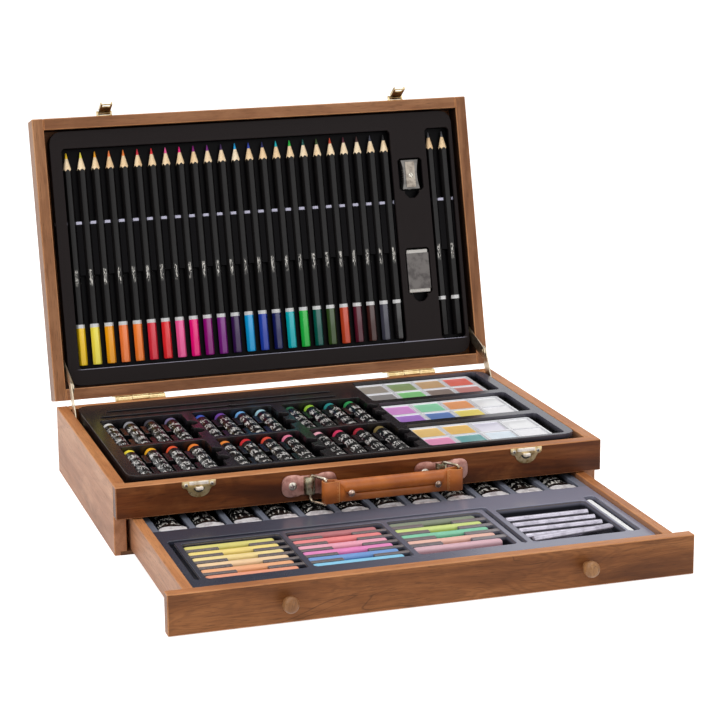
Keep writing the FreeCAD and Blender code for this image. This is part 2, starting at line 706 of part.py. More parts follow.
# ---------------------------------------------------------------- latches
latch_xs = [-latch_spacing / 2, latch_spacing / 2]
catch_top = case_height - catch_drop
tongue_z = catch_top - tongue_drop
hasp_axis_y = front_y - catch_sheet - hasp_pin - hasp_eye_wall - hasp_gap
hasp_axis_z = lid_z + hasp_height


def catch_plate(x):
    """A shield-shaped plate with a hooked tongue in the middle of its top edge."""
    wide = catch_width / 2
    shoulder = catch_top - catch_shoulder * catch_height
    foot = catch_top - catch_height / 2
    corners = [V(x + catch_foot * wide, front_y, foot), V(x + wide, front_y, shoulder),
               V(x + wide, front_y, catch_top), V(x - wide, front_y, catch_top),
               V(x - wide, front_y, shoulder), V(x - catch_foot * wide, front_y, foot)]
    round_foot = Part.Arc(corners[-1], V(x, front_y, catch_top - catch_height), corners[0]).toShape()
    edges = Part.makePolygon(corners).Edges + [round_foot]
    sheet = Part.Face(Part.Wire(edges)).extrude(V(0, -catch_sheet, 0))
    tongue = box(x - tongue_width / 2, x + tongue_width / 2, front_y - catch_sheet - tongue_rise,
                 front_y - catch_sheet, tongue_z, tongue_z + tongue_height)
    return fuse([sheet, tongue])


keep("catch_plates", [catch_plate(x) for x in latch_xs])


def latch_bracket(x):
    """A small plate on the lid's front face with two ears for the hasp's pin."""
    wide = hasp_width / 2
    reach = hasp_pin + hasp_eye_wall
    pieces = [box(x - wide - bracket_ear, x + wide + bracket_ear, front_y - bracket_sheet, front_y,
                  hasp_axis_z - bracket_foot, hasp_axis_z + bracket_height)]
    for x0 in (x - wide - bracket_ear, x + wide):
        pieces.append(box(x0, x0 + bracket_ear, hasp_axis_y - reach, front_y, hasp_axis_z - reach / 2,
                          hasp_axis_z + reach / 2))
    pieces.append(prism((x - wide, hasp_axis_y, hasp_axis_z), (x + wide, hasp_axis_y, hasp_axis_z), hasp_pin,
                        fine_round_sides))
    return fuse(pieces)


keep("latch_brackets", [latch_bracket(x) for x in latch_xs], open_lid)


def hasp(x):
    """A folded hasp: an eye round the pin, a windowed blade and two turned-out cheeks."""
    wide = hasp_width / 2 - hasp_gap
    y0 = hasp_axis_y - hasp_sheet / 2
    y1 = hasp_axis_y + hasp_sheet / 2
    low = hasp_axis_z - hasp_length
    eye = prism((x - wide, hasp_axis_y, hasp_axis_z), (x + wide, hasp_axis_y, hasp_axis_z),
                hasp_pin + hasp_eye_wall, fine_round_sides)
    sheet = box(x - wide, x + wide, y0, y1, low, hasp_axis_z)
    cheeks = [box(a, a + hasp_sheet, y0 - hasp_cheek, y1, low, hasp_axis_z - hasp_cheek_start)
              for a in (x - wide, x + wide - hasp_sheet)]
    window_half = tongue_width / 2 + hasp_gap
    window = box(x - window_half, x + window_half, y0 - 1, y1 + 1, tongue_z - hasp_gap,
                 tongue_z + tongue_height + hasp_gap)
    bore = rod((x - wide - 1, hasp_axis_y, hasp_axis_z), (x + wide + 1, hasp_axis_y, hasp_axis_z),
               hasp_pin + running_gap)
    return fuse([eye, sheet] + cheeks).cut(window).cut(bore)


def hasp_at_rest(shape):
    copy = shape.copy()
    copy.rotate(V(0, hasp_axis_y, hasp_axis_z), V(1, 0, 0), -hasp_rest_angle)
    return open_lid(copy)


keep("latch_hasp_left", hasp(latch_xs[0]), hasp_at_rest)
keep("latch_hasp_right", hasp(latch_xs[1]), hasp_at_rest)

# ---------------------------------------------------------------- stays
# The two links and the lines from the hinge axis to the two pivots make a parallelogram,
# so the lower link turns with the lid and the upper link keeps its direction in the case.
case_pivot = V(0, axis_y - stay_back, axis_z - stay_low)
lid_pivot = V(0, axis_y - stay_lid_back, axis_z + stay_lid_high)
lid_pivot_rest = open_lid(Part.Vertex(lid_pivot)).Point
knee = case_pivot + lid_pivot_rest - V(0, axis_y, axis_z)
outer_x = inner - stay_layer_gap - stay_sheet
inner_x = outer_x - stay_layer_gap - stay_sheet


def cross_prism(point, x0, x1, radius, sides):
    return prism((x0, point.y, point.z), (x1, point.y, point.z), radius, sides)


def headed_pin(point, x_head, x_end):
    """A pin through a link, with a thin head on its inner side."""
    head = cross_prism(point, x_head - stay_head_height, x_head, stay_head, head_sides)
    shank = cross_prism(point, x_head - stay_head_height, x_end, stay_pin, head_sides)
    return head.fuse(shank).removeSplitter()


def link(start, end, x):
    """A flat bar with tapered ends between two points in a plane of constant X."""
    r = stay_width / 2
    along = (end - start).normalize()
    across = V(0, -along.z, along.y)
    outline = []
    for point, forward in ((start, -1), (end, 1)):
        for side, step in ((forward, 0), (forward, 1), (-forward, 1), (-forward, 0)):
            reach = r if step else r * math.tan(math.radians(22.5))
            width = r * math.tan(math.radians(22.5)) if step else r
            outline.append(point + along * (forward * reach) + across * (side * width))
    bar = polygon_face([V(x, p.y, p.z) for p in outline]).extrude(V(stay_sheet, 0, 0))
    bore = rod((x - 1, start.y, start.z), (x + stay_sheet + 1, start.y, start.z), stay_pin + running_gap)
    return bar.cut(bore)


knee_hole = cross_prism(knee, inner_x - 1, inner_x + stay_sheet + 1, stay_pin + open_pivot_gap,
                        fine_round_sides)
upper_link = link(lid_pivot_rest, knee, inner_x).cut(knee_hole)
lower_link = fuse([link(case_pivot, knee, outer_x), headed_pin(knee, inner_x - stay_layer_gap, outer_x)])
case_pin = headed_pin(case_pivot, outer_x - stay_layer_gap, inner)
lid_pin = headed_pin(lid_pivot, inner_x - stay_layer_gap, inner)
for side, sign in (("left", -1), ("right", 1)):
    keep("stay_lower_" + side, mirrored(lower_link, sign))
    keep("stay_upper_" + side, mirrored(upper_link, sign))
keep("stay_case_pivots", [mirrored(case_pin, sign) for sign in (-1, 1)])
keep("stay_lid_pivots", [mirrored(lid_pin, sign) for sign in (-1, 1)], open_lid)

# ---------------------------------------------------------------- handle
plate_xs = [handle_centre - handle_plate_spacing / 2, handle_centre + handle_plate_spacing / 2]
ring_axis_y = front_y - handle_plate_sheet - ring_wire - ring_off
lean = math.radians(ring_lean)
reach = V(ring_reach * math.sin(lean), -ring_reach * math.cos(lean), 0)
ring_low = ring_centre_height - ring_height / 2
ring_high = ring_centre_height + ring_height / 2


def handle_plate(x):
    """Two round lobes joined by a raised saddle that holds the ring."""
    r = handle_plate_width / 2
    z = handle_plate_height
    face = front_y - handle_plate_sheet
    offset = handle_plate_length / 2 - r
    lobes = [prism((x + side * offset, front_y, z), (x + side * offset, face, z), r, plate_sides)
             for side in (-1, 1)]
    neck = box(x - offset, x + offset, face, front_y, z - handle_plate_waist * r, z + handle_plate_waist * r)
    wide = saddle_width / 2
    out = face - 2 * ring_wire - saddle_wall
    low = z - saddle_height / 2
    arch = [(-wide, face), (-wide, out + saddle_bevel), (saddle_bevel - wide, out),
            (wide - saddle_bevel, out), (wide, out + saddle_bevel), (wide, face)]
    saddle = polygon_face([V(x + u, y, low) for u, y in arch]).extrude(V(0, 0, saddle_height))
    tunnel = rod((x, ring_axis_y, low - 1), (x, ring_axis_y, low + saddle_height + 1),
                 ring_wire + running_gap)
    return fuse(lobes + [neck, saddle]).cut(tunnel)


keep("handle_plates", [handle_plate(x) for x in plate_xs])


def ring(x):
    """A closed wire loop, its inner bar in the saddle and its outer bar in the strap's end."""
    along = V(reach).normalize()
    up = V(0, 0, 1)
    normal = along.cross(up)
    c = ring_corner
    flat = [(0, c), (0, ring_height - c), (c, ring_height), (ring_reach - c, ring_height),
            (ring_reach, ring_height - c), (ring_reach, c), (ring_reach - c, 0), (c, 0)]
    route = [V(x, ring_axis_y, ring_low) + along * u + up * v for u, v in flat]
    sections = []
    for i, point in enumerate(route):
        before = (point - route[i - 1]).normalize()
        after = (route[(i + 1) % len(route)] - point).normalize()
        mitre = (before - after).normalize()
        stretch = ring_wire / math.cos(before.getAngle(after) / 2)
        sections.append([point + mitre * (stretch * math.cos(math.radians(45 * k + 22.5)))
                         + normal * (ring_wire * math.sin(math.radians(45 * k + 22.5))) for k in range(8)])
    faces = []
    for lower, upper in zip(sections, sections[1:] + sections[:1]):
        for k in range(8):
            m = (k + 1) % 8
            faces.append(polygon_face([lower[k], lower[m], upper[m]]))
            faces.append(polygon_face([lower[k], upper[m], upper[k]]))
    return Part.Solid(Part.Shell(faces)).removeSplitter()


keep("handle_ring_left", ring(plate_xs[0]))
keep("handle_ring_right", ring(plate_xs[1]))

strap_low = ring_low + ring_corner + ring_wire / 2 + open_pivot_gap
strap_high = strap_low + strap_height
strap_x0 = plate_xs[0] + reach.x
strap_x1 = plate_xs[1] + reach.x
strap_y = ring_axis_y + reach.y
loop_radius = ring_wire + open_pivot_gap + strap_leather
roll_z = strap_high - strap_roll
roll_y = strap_y - strap_roll_out


def strap():
    """A folded leather grip with a padded roll, its two ends turned back round the rings."""
    t = strap_thickness / 2
    inset = strap_roll_inset * (strap_x1 - strap_x0)
    grip = box(strap_x0, strap_x1, strap_y - t, strap_y + t, strap_low, strap_high)
    roll = prism((strap_x0 + inset, roll_y, roll_z), (strap_x1 - inset, roll_y, roll_z), strap_roll,
                 fine_round_sides)
    loops = [prism((x, strap_y, strap_low), (x, strap_y, strap_high), loop_radius, fine_round_sides)
             for x in (strap_x0, strap_x1)]
    pivot = rod((strap_x0, strap_y, strap_low - 1), (strap_x0, strap_y, strap_high + 1),
                ring_wire + running_gap)
    loose = prism((strap_x1, strap_y, strap_low - 1), (strap_x1, strap_y, strap_high + 1),
                  ring_wire + open_pivot_gap, fine_round_sides)
    return fuse([grip, roll] + loops).cut(pivot).cut(loose)


rivet_z = ring_centre_height - rivet_drop
rivet_front = roll_y - strap_roll * math.cos(math.radians(180 / fine_round_sides))
rivet_back = strap_y + strap_thickness / 2
# A rivet's dome: shares of its height from the top, and of its radius.
rivet_dome = [(0, 0.5), (0.4, 0.85), (1, 1)]
rivet_rings = [(a * rivet_height, b * rivet_radius, b * rivet_radius) for a, b in rivet_dome]


def rivet(x):
    """A domed rivet through the grip."""
    dome = faceted(rivet_rings, (x, rivet_front - rivet_height, rivet_z), head_sides)
    shank = prism((x, rivet_front, rivet_z), (x, rivet_back, rivet_z), rivet_shank, head_sides)
    return fuse([dome, shank])


rivets = [rivet((strap_x0 + strap_x1) / 2 + side * rivet_spacing / 2) for side in (-1, 1)]
keep("handle_strap", strap().cut(Part.makeCompound(rivets)))
keep("handle_rivets", rivets)

# ---------------------------------------------------------------- drawer
drawer_side_y0 = depth(drawer_front_thickness)
drawer_y1 = depth(drawer_length)
floor_cut = box(-drawer_inner - drawer_groove, drawer_inner + drawer_groove, drawer_side_y0 - drawer_groove,
                drawer_y1 - drawer_board + drawer_groove, drawer_floor_z, drawer_floor)


def drawer_side(sign):
    x0, x1 = sorted((sign * drawer_inner, sign * drawer_half))
    return board_box(x0, x1, drawer_side_y0, drawer_y1, drawer_low, drawer_top).cut(floor_cut)


front_board = board_box(-half, half, front_y, drawer_side_y0, drawer_floor_gap, drawer_top)
keep("drawer_front", front_board.cut(floor_cut), pull_drawer)
keep("drawer_side_left", drawer_side(-1), pull_drawer)
keep("drawer_side_right", drawer_side(1), pull_drawer)
rear = board_box(-drawer_inner, drawer_inner, drawer_y1 - drawer_board, drawer_y1, drawer_low, drawer_top)
keep("drawer_back", rear.cut(floor_cut), pull_drawer)
keep("drawer_bottom", floor_cut.copy(), pull_drawer)

# A turned knob: a foot, a neck and a flattened ball.
ball = knob_diameter / 2
neck = knob_neck / 2
knob_rings = [(-knob_length, 0.4 * ball), (-0.85 * knob_length, 0.85 * ball), (-0.6 * knob_length, ball),
              (-0.2 * knob_length, neck), (0, 1.2 * neck)]
knob_z = (drawer_top + drawer_floor_gap) / 2 + knob_lift
keep("drawer_knobs", [faceted([(y, r, r) for y, r in knob_rings], (side * knob_spacing / 2, front_y, knob_z),
                              knob_sides) for side in (-1, 1)], pull_drawer)

# The drawer's tray: pastel bars in three groups, charcoal and a long white bar, and tubes behind.
tray_x = drawer_inner - drawer_tray_gap
bed_y0 = drawer_side_y0 + drawer_tray_inset
bed_y1 = drawer_y1 - drawer_board - drawer_tray_gap
group_pitch = stick_length + group_gap
group_xs = [-tray_x + stick_inset + index * group_pitch for index in range(len(stick_counts))]
group_y0 = depth(stick_front)
group_y1 = group_y0 + stick_bed
stick_low = drawer_tray_z - stick_sink
drawer_pockets = []
ridges = []
bars = []
for x0, rows in zip(group_xs, stick_counts):
    full = rows == max(stick_counts)
    pitch = stick_pitch if full else wide_pitch
    first = depth(stick_first_depth if full else wide_first_depth)
    x1 = x0 + stick_length
    right = x1 + group_finger_room
    ridge_half = (pitch - stick_width) / 2 - ridge_gap
    drawer_pockets.append(pocket(x0 - group_room, right, group_y0, group_y1, drawer_tray_z, stick_sink))
    for row in range(rows):
        y = first + row * pitch
        bars.append(box(x0, x1, y - stick_width / 2, y + stick_width / 2,
                        stick_low, stick_low + stick_height))
        if row:
            middle = y - pitch / 2
            for a, b in ((x0 - group_room, x0 + ridge_left_share * stick_length),
                         (x1 - ridge_right_share * stick_length, right)):
                ridges.append(box(a, b, middle - ridge_half, middle + ridge_half, stick_low,
                                  drawer_tray_z - ridge_drop))
channel_x0 = group_xs[0] - group_room - channel_wall - 2 * tray_wall
channel_x1 = group_xs[-1] + stick_length + group_finger_room + channel_wall + 2 * tray_wall
channel_y = group_y1 + channel_wall + 2 * tray_wall
drawer_pockets += [pocket(channel_x0 - channel_width, channel_x0, group_y0, channel_y + channel_width,
                          drawer_tray_z, channel_depth),
                   pocket(channel_x1, channel_x1 + channel_width, group_y0, channel_y + channel_width,
                          drawer_tray_z, channel_depth),
                   pocket(channel_x0 - channel_width, channel_x1 + channel_width, channel_y,
                          channel_y + channel_width, drawer_tray_z, channel_depth)]
charcoal_x0 = channel_x1 + channel_width + charcoal_gap
charcoal_x1 = charcoal_x0 + charcoal_length + charcoal_finger_room
charcoal_radius = charcoal_diameter / 2
charcoal_rest = charcoal_radius * math.cos(math.radians(180 / small_round_sides))
charcoal_z = drawer_tray_z - charcoal_rise - charcoal_radius
drawer_pockets.append(pocket(charcoal_x0, charcoal_x1, group_y0, group_y1, drawer_tray_z, stick_sink))
charcoals = []
for row in range(charcoal_rows):
    length = charcoal_short if row == 0 else charcoal_length
    y = group_y0 + (row + 0.5) * charcoal_pitch + ridge_gap
    z = charcoal_z if row else stick_low + charcoal_rest
    charcoals.append(prism((charcoal_x0 + charcoal_end_gap, y, z), (charcoal_x0 + length, y, z),
                           charcoal_radius, small_round_sides))
    if row:
        for low, high in charcoal_ridges:
            ridges.append(box(charcoal_x0 + low * charcoal_length, charcoal_x0 + high * charcoal_length,
                              y - charcoal_radius, y + charcoal_radius,
                              stick_low, charcoal_z - charcoal_rest))
tilt = math.radians(charcoal_tilt)
loose_start = V(charcoal_x0 + charcoal_end_gap, group_y0 + charcoal_radius + loose_margin,
                stick_low + 2 * charcoal_rest + charcoal_radius)
loose_end = loose_start + V(math.cos(tilt), math.sin(tilt), 0) * charcoal_length
charcoals.append(prism(tuple(loose_start), tuple(loose_end), charcoal_radius, small_round_sides))
white_x1 = tray_x - white_inset + white_slot
drawer_pockets.append(pocket(white_x1 - white_slot, white_x1, group_y0, group_y0 + white_room + white_length
                             + white_end_room, drawer_tray_z, stick_sink))
tube_pitch = (2 * tray_x - 2 * tube_side_room) / tube_count
tube_xs = [-tray_x + tube_side_room + (index + 0.5) * tube_pitch for index in range(tube_count)]
tube_radius = tube_diameter / 2
tube_z = drawer_tray_z + tube_rise - tube_radius
tube_y0 = group_y1 + tube_gap
tube_y1 = tube_y0 + tube_length
tube_half_pocket = (tube_pitch - tube_bar) / 2
tube_sink = drawer_tray_z - tube_z + tube_radius
for x in tube_xs:
    drawer_pockets.append(pocket(x - tube_half_pocket, x + tube_half_pocket, tube_y0 - tube_end_room,
                                 tube_y1 + tube_end_room, drawer_tray_z, tube_sink))
bed = formed_tray(-tray_x, tray_x, bed_y0, bed_y1, drawer_tray_z, drawer_floor, drawer_pockets)
keep("drawer_tray", bed.multiFuse(ridges).removeSplitter(), pull_drawer)
keep("pastel_bars", bars, pull_drawer)
white_x0 = white_x1 - white_slot + ridge_gap
keep("white_bar", box(white_x0, white_x0 + white_width, group_y0 + white_room, group_y0 + white_room
                      + white_length, stick_low, stick_low + stick_height), pull_drawer)
keep("charcoal_sticks", charcoals, pull_drawer)

# A paint tube: flattened to a crimp at its front end, round at its shoulder.
shoulder = tube_length - cap_length - tube_shoulder
cap_radius = cap_diameter / 2
tube_rings = [(0, crimp_width / 2, crimp_thickness / 2), (crimp_length, crimp_width / 2, crimp_thickness / 2),
              (shoulder, tube_radius, tube_radius), (shoulder + tube_shoulder, cap_radius, cap_radius)]
cap_end = cap_taper * cap_radius
cap_rings = [(shoulder + tube_shoulder, cap_radius, cap_radius), (tube_length, cap_end, cap_end)]
for name, rings in (("tube_bodies", tube_rings), ("tube_caps", cap_rings)):
    keep(name, [faceted(rings, (x, tube_y0, tube_z), small_round_sides) for x in tube_xs], pull_drawer)

for name, shape in nodes.items():
    shape.exportStep("parts/" + name + ".step")
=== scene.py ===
import bpy
import bmesh
import json
import math
import random
from mathutils import Matrix, Vector


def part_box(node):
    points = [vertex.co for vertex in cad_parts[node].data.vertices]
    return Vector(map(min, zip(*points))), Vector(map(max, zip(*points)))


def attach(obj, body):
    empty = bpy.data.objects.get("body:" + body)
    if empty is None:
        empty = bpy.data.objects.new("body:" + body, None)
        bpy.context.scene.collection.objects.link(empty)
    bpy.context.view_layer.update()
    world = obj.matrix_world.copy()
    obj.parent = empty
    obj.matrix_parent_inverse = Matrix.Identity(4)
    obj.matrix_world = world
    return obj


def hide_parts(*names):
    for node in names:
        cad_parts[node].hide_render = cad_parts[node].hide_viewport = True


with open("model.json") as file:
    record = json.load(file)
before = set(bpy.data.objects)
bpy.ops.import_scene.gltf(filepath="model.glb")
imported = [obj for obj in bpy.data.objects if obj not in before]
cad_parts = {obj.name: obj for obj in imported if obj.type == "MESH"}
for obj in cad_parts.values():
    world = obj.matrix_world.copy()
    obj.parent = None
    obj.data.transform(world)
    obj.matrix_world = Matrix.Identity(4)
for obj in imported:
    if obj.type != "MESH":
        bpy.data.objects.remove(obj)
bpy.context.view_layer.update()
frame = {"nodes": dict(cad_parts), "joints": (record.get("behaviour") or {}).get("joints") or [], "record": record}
NODES = frame["nodes"]
JOINTS = {joint["name"]: joint for joint in frame["joints"]}
BODY_OF = {node: body for body, nodes in frame["record"]["behaviour"]["bodies"].items() for node in nodes}
SLOT_OF = {part["node"]: part["material_slot"] for part in frame["record"]["subparts"]}

# ---------------------------------------------------------------- places and colours
MM = 0.001
MERGE = 2e-6                # metres: corners of a CAD mesh closer than this are one
FLAT = math.radians(0.6)    # faces that turn less than this are one flat face
ROW_DIGITS = 4              # the pieces of a row start at the same place to this many decimals
NUMBER_STEP = 7.3           # distance between the patterns of two numbered pieces
X_AXIS = Vector((1, 0, 0))
Y_AXIS = Vector((0, 1, 0))
Z_AXIS = Vector((0, 0, 1))
OUT = Vector((0, -1, 0))    # out of the case's front
DOWN = Vector((0, 0, -1))
AS_IS = Matrix.Identity(4)
# These turn a board's length to the grain's X.
ALONG_X = AS_IS
ALONG_Y = Matrix.Rotation(math.radians(90), 4, "Z")
ALONG_Z = Matrix.Rotation(math.radians(90), 4, "Y")
# From the closed lid's place to its open rest place, about the hinge axis.
HINGE = Vector(JOINTS["lid_hinge"]["pos_m"])
LID_ANGLE = math.radians(JOINTS["lid_hinge"]["range_deg"][1])
OPEN = Matrix.Translation(HINGE) @ Matrix.Rotation(-LID_ANGLE, 4, "X") @ Matrix.Translation(-HINGE)
CLOSE = OPEN.inverted()


def screen(colour):
    """A colour given as 0 to 255 screen values, made linear."""
    parts = [value / 255 for value in colour]
    return (*(v / 12.92 if v <= 0.04045 else ((v + 0.055) / 1.055) ** 2.4 for v in parts), 1.0)


def grey(value):
    return (value, value, value, 1.0)


def dimmed(colour, share):
    return tuple(c * share for c in colour[:3]) + (1.0,)


WHITE = grey(1.0)


# ---------------------------------------------------------------- node-tree helpers
class Nodes:
    """Short calls for the nodes of a material or of the world."""

    def __init__(self, tree):
        self.nodes = tree.nodes
        self.links = tree.links

    def plug(self, socket, value):
        if hasattr(value, "is_output"):
            self.links.new(value, socket)
        else:
            socket.default_value = value

    def node(self, kind, sockets, **settings):
        item = self.nodes.new("ShaderNode" + kind)
        for key, value in settings.items():
            setattr(item, key, value)
        for key, value in sockets.items():
            self.plug(item.inputs[key], value)
        return item

    def math(self, operation, a, b=0.0, c=0.0, clamp=False):
        return self.node("Math", {0: a, 1: b, 2: c}, operation=operation, use_clamp=clamp).outputs[0]

    def times(self, a, b):
        return self.math("MULTIPLY", a, b)

    def scaled(self, value, by, plus):
        return self.math("MULTIPLY_ADD", value, by, plus)

    def invert(self, value):
        return self.math("SUBTRACT", 1.0, value)

    def seen(self):
        """1 for rays that end in the picture, straight or through shine and glass, and 0 for diffuse ones."""
        path = self.node("LightPath", {})
        total = self.math("ADD", path.outputs["Is Camera Ray"], path.outputs["Is Glossy Ray"])
        return self.math("ADD", total, path.outputs["Is Transmission Ray"], clamp=True)


class Shader(Nodes):
    """One procedural material, built on its Principled node."""

    def __init__(self, name):
        self.material = bpy.data.materials.new(name)
        self.material.use_nodes = True
        super().__init__(self.material.node_tree)
        self.bsdf = self.nodes["Principled BSDF"]

    def set(self, **values):
        for key, value in values.items():
            self.plug(self.bsdf.inputs[key.replace("_", " ")], value)

    def finish(self, colour, roughness, normal):
        self.set(Base_Color=colour, Roughness=roughness, Normal=normal)
        return self.material

    def kept(self, name, output="Vector"):
        """A value kept with each point of the mesh."""
        return self.node("Attribute", {}, attribute_name=name).outputs[output]

    def tint(self):
        """The colour kept with each piece's points."""
        return self.kept("tint", "Color")

    def coords(self, source="Object", scale=(1, 1, 1)):
        """The object's places in metres, or the kept "grain" or "place": metres along a piece, its share of
        a turn and its number on a made piece, and metres on a copy of a CAD node."""
        vector = self.node("TexCoord", {}).outputs["Object"] if source == "Object" else self.kept(source)
        return self.node("Mapping", {"Vector": vector, "Scale": scale}).outputs["Vector"]

    def axis(self, axis, source="place"):
        return self.node("SeparateXYZ", {"Vector": self.coords(source)}).outputs[axis]

    def noise(self, scale, detail, roughness, distortion=0.0, vector=None):
        return self.node("TexNoise", {"Vector": vector or self.coords(), "Scale": scale, "Detail": detail,
                                      "Roughness": roughness, "Distortion": distortion}).outputs["Fac"]

    def cells(self, vector, scale, feature="F1"):
        return self.node("TexVoronoi", {"Vector": vector, "Scale": scale}, feature=feature).outputs["Distance"]

    def ramp(self, fac, stops):
        item = self.node("ValToRGB", {"Fac": fac})
        elements = item.color_ramp.elements
        while len(elements) < len(stops):
            elements.new(0.5)
        for element, (position, colour) in zip(elements, stops):
            element.position = position
            element.color = colour
        return item.outputs["Color"]

    def mask(self, fac, low, high):
        """Rises smoothly from 0 at low to 1 at high."""
        return self.node("MapRange", {"Value": fac, "From Min": low, "From Max": high},
                         interpolation_type="SMOOTHSTEP").outputs["Result"]

    def between(self, value, low, high, soft):
        """1 between two values and 0 outside them."""
        return self.times(self.mask(value, low - soft, low + soft),
                          self.invert(self.mask(value, high - soft, high + soft)))

    def contour(self, field, level, width):
        """Thin lines where a field passes a level."""
        return self.invert(self.mask(self.math("ABSOLUTE", self.math("SUBTRACT", field, level)), 0.0, width))

    def mix(self, fac, a, b, blend="MIX"):
        return self.node("Mix", {0: fac, 6: a, 7: b}, data_type="RGBA", blend_type=blend).outputs[2]

    def shaded(self, colour, value):
        return self.mix(1.0, colour, grey(value), "MULTIPLY")

    def bump(self, height, distance, strength):
        return self.node("Bump", {"Distance": distance, "Strength": strength, "Height": height}).outputs["Normal"]


class Sheet(Shader):
    """Moulded plastic: a fine grain over a slow wave, which also varies the shine."""

    def __init__(self, name):
        super().__init__(name)
        self.wide = self.noise(14.0, 3.0, 0.6)
        self.fine = self.noise(1400.0, 2.0, 0.6)

    def formed(self, shade, roughness, grain=0.00003):
        wave = self.math("ADD", self.fine, self.times(self.wide, 22.0))
        return self.finish(shade, self.scaled(self.wide, 0.14, roughness), self.bump(wave, grain, 0.6))


# ---------------------------------------------------------------- materials
def wood(name, dark, middle, light, figure, knots=0.0, roughness=0.45, streaks=0.4, shine=0.3):
    """Stained, lacquered wood. The kept grain's X runs along the fibres, in metres."""
    s = Shader(name)
    dark, middle, light = screen(dark), screen(middle), screen(light)
    ink = dimmed(dark, 0.35)

    def field(along, across, detail, rough, distortion=0.0):
        return s.noise(1.0, detail, rough, distortion, s.coords("grain", (along, across, across)))

    bend = field(7.0, 34.0, 2.0, 0.45, 0.5 + figure)
    bands = s.mask(s.math("SINE", s.times(bend, 46.0 * figure)), -0.6, 1.0)
    fibres = field(16.0, 700.0, 3.0, 0.65)
    pores = field(110.0, 2600.0, 1.0, 0.5)
    cloud = field(22.0, 42.0, 4.0, 0.6, 0.3)
    colour = s.ramp(field(4.0, 30.0, 3.0, 0.55, 0.8), [(0.32, dark), (0.50, middle), (0.70, light)])
    colour = s.mix(s.times(bands, 0.26), colour, dark)
    colour = s.mix(s.times(s.mask(cloud, 0.50, 0.72), 0.45), colour, light)
    colour = s.mix(s.times(s.mask(fibres, 0.46, 0.72), streaks), colour, dark)
    colour = s.mix(s.times(s.mask(pores, 0.60, 0.70), 0.5), colour, ink)
    if knots:
        crack = s.contour(field(5.0, 26.0, 2.5, 0.5, 0.9), 0.47, 0.007)
        zone = s.mask(field(9.0, 20.0, 2.0, 0.5), 0.48, 0.60)
        colour = s.mix(s.times(s.times(crack, zone), knots), colour, ink)
        eyes = s.invert(s.mask(s.cells(s.coords("grain", (16.0, 50.0, 50.0)), 1.0), 0.05, 0.24))
        colour = s.mix(s.times(eyes, knots * 0.5), colour, ink)
    s.set(Specular_IOR_Level=shine)
    height = s.math("SUBTRACT", s.times(fibres, 0.6), pores)
    return s.finish(colour, s.scaled(fibres, 0.18, roughness - 0.09), s.bump(height, 0.00009, 0.5))


def plastic(name, colour, roughness, coat=0.0):
    s = Sheet(name)
    colour = screen(colour)
    s.set(Coat_Weight=coat, Coat_Roughness=0.08)
    return s.formed(s.mix(s.wide, colour, dimmed(colour, 0.88)), roughness - 0.07, 0.00002)


def metal(name, colour, tarnish, roughness, scratches=0.3, metallic=1.0):
    s = Shader(name)
    s.set(Metallic=metallic)
    colour = screen(colour)
    tarnish = screen(tarnish) if tarnish else dimmed(colour, 0.72)
    brushed = s.noise(3.0, 3.0, 0.6, vector=s.coords(scale=(500.0, 60.0, 500.0)))
    blotch = s.noise(160.0, 3.0, 0.6)
    return s.finish(s.mix(s.mask(blotch, 0.42, 0.66), colour, tarnish), s.scaled(blotch, 0.22, roughness - 0.08),
                    s.bump(brushed, 0.00002, scratches))


def chalky(name, roughness, level=0.3, colour=None, grain=0.00006, pale=0.0, coat=0.0):
    """Pressed pigment or wax, in its own colour or in each piece's tint. pale paints light onto a stick's top."""
    s = Shader(name)
    fine = s.noise(900.0, 4.0, 0.7)
    lump = s.noise(120.0, 3.0, 0.6)
    base = screen(colour) if colour else s.tint()
    # Painted light: a paler band over the top of the stick.
    if pale:
        base = s.mix(s.times(s.between(s.axis("Y"), 0.20, 0.80, 0.04), pale), base, grey(0.86))
    elif coat:
        base = s.mix(0.08, base, grey(0.95))
        s.set(Coat_Weight=coat, Coat_Roughness=0.12)
    shade = s.mix(s.times(lump, 0.45), base, s.shaded(base, 0.62))
    shade = s.mix(s.times(s.mask(fine, 0.60, 0.75), 0.35), shade, grey(0.75))
    s.set(Specular_IOR_Level=level)
    height = s.math("ADD", fine, s.times(lump, 3.0))
    return s.finish(shade, s.scaled(lump, 0.2, roughness - 0.1), s.bump(height, grain, 0.6))


def enamel(name):
    """Glossy paint in each piece's tint."""
    s = Shader(name)
    wide = s.noise(60.0, 2.0, 0.5)
    base = s.tint()
    s.set(Coat_Weight=0.25, Coat_Roughness=0.08)
    return s.finish(s.mix(s.times(wide, 0.2), base, s.shaded(base, 0.75)),
                    s.scaled(wide, 0.1, 0.17), s.bump(wide, 0.00006, 0.3))


def printed(name, colour, ink, roughness, start, end, low, high, along, around, width, turn, level=0.5):
    """A glossy dark skin with thin wandering light lines, with no letters in them, between two distances
    along a piece (start, end) and two shares of its turn (low, high). along, around and width shape the
    lines, and turn spaces the rows they lie in."""
    s = Shader(name)
    colour = screen(colour)
    wide = s.noise(220.0, 3.0, 0.6)
    band = s.times(s.between(s.axis("X"), start, end, 0.0008), s.between(s.axis("Y"), low, high, 0.01))
    line = s.contour(s.noise(1.0, 1.5, 0.5, 0.6, s.coords("place", (along, around, 3.7))), 0.5, width)
    rows = s.mask(s.math("SINE", s.times(s.axis("X"), turn)), -0.45, -0.05)
    mark = s.times(band, s.times(line, rows))
    s.set(Coat_Weight=0.2 * level, Coat_Roughness=0.1, Specular_IOR_Level=level)
    return s.finish(s.mix(mark, s.mix(wide, colour, dimmed(colour, 0.7)), screen(ink)),
                    s.scaled(wide, 0.14, roughness), s.bump(s.math("ADD", wide, s.times(mark, 0.3)), 0.00003, 0.6))


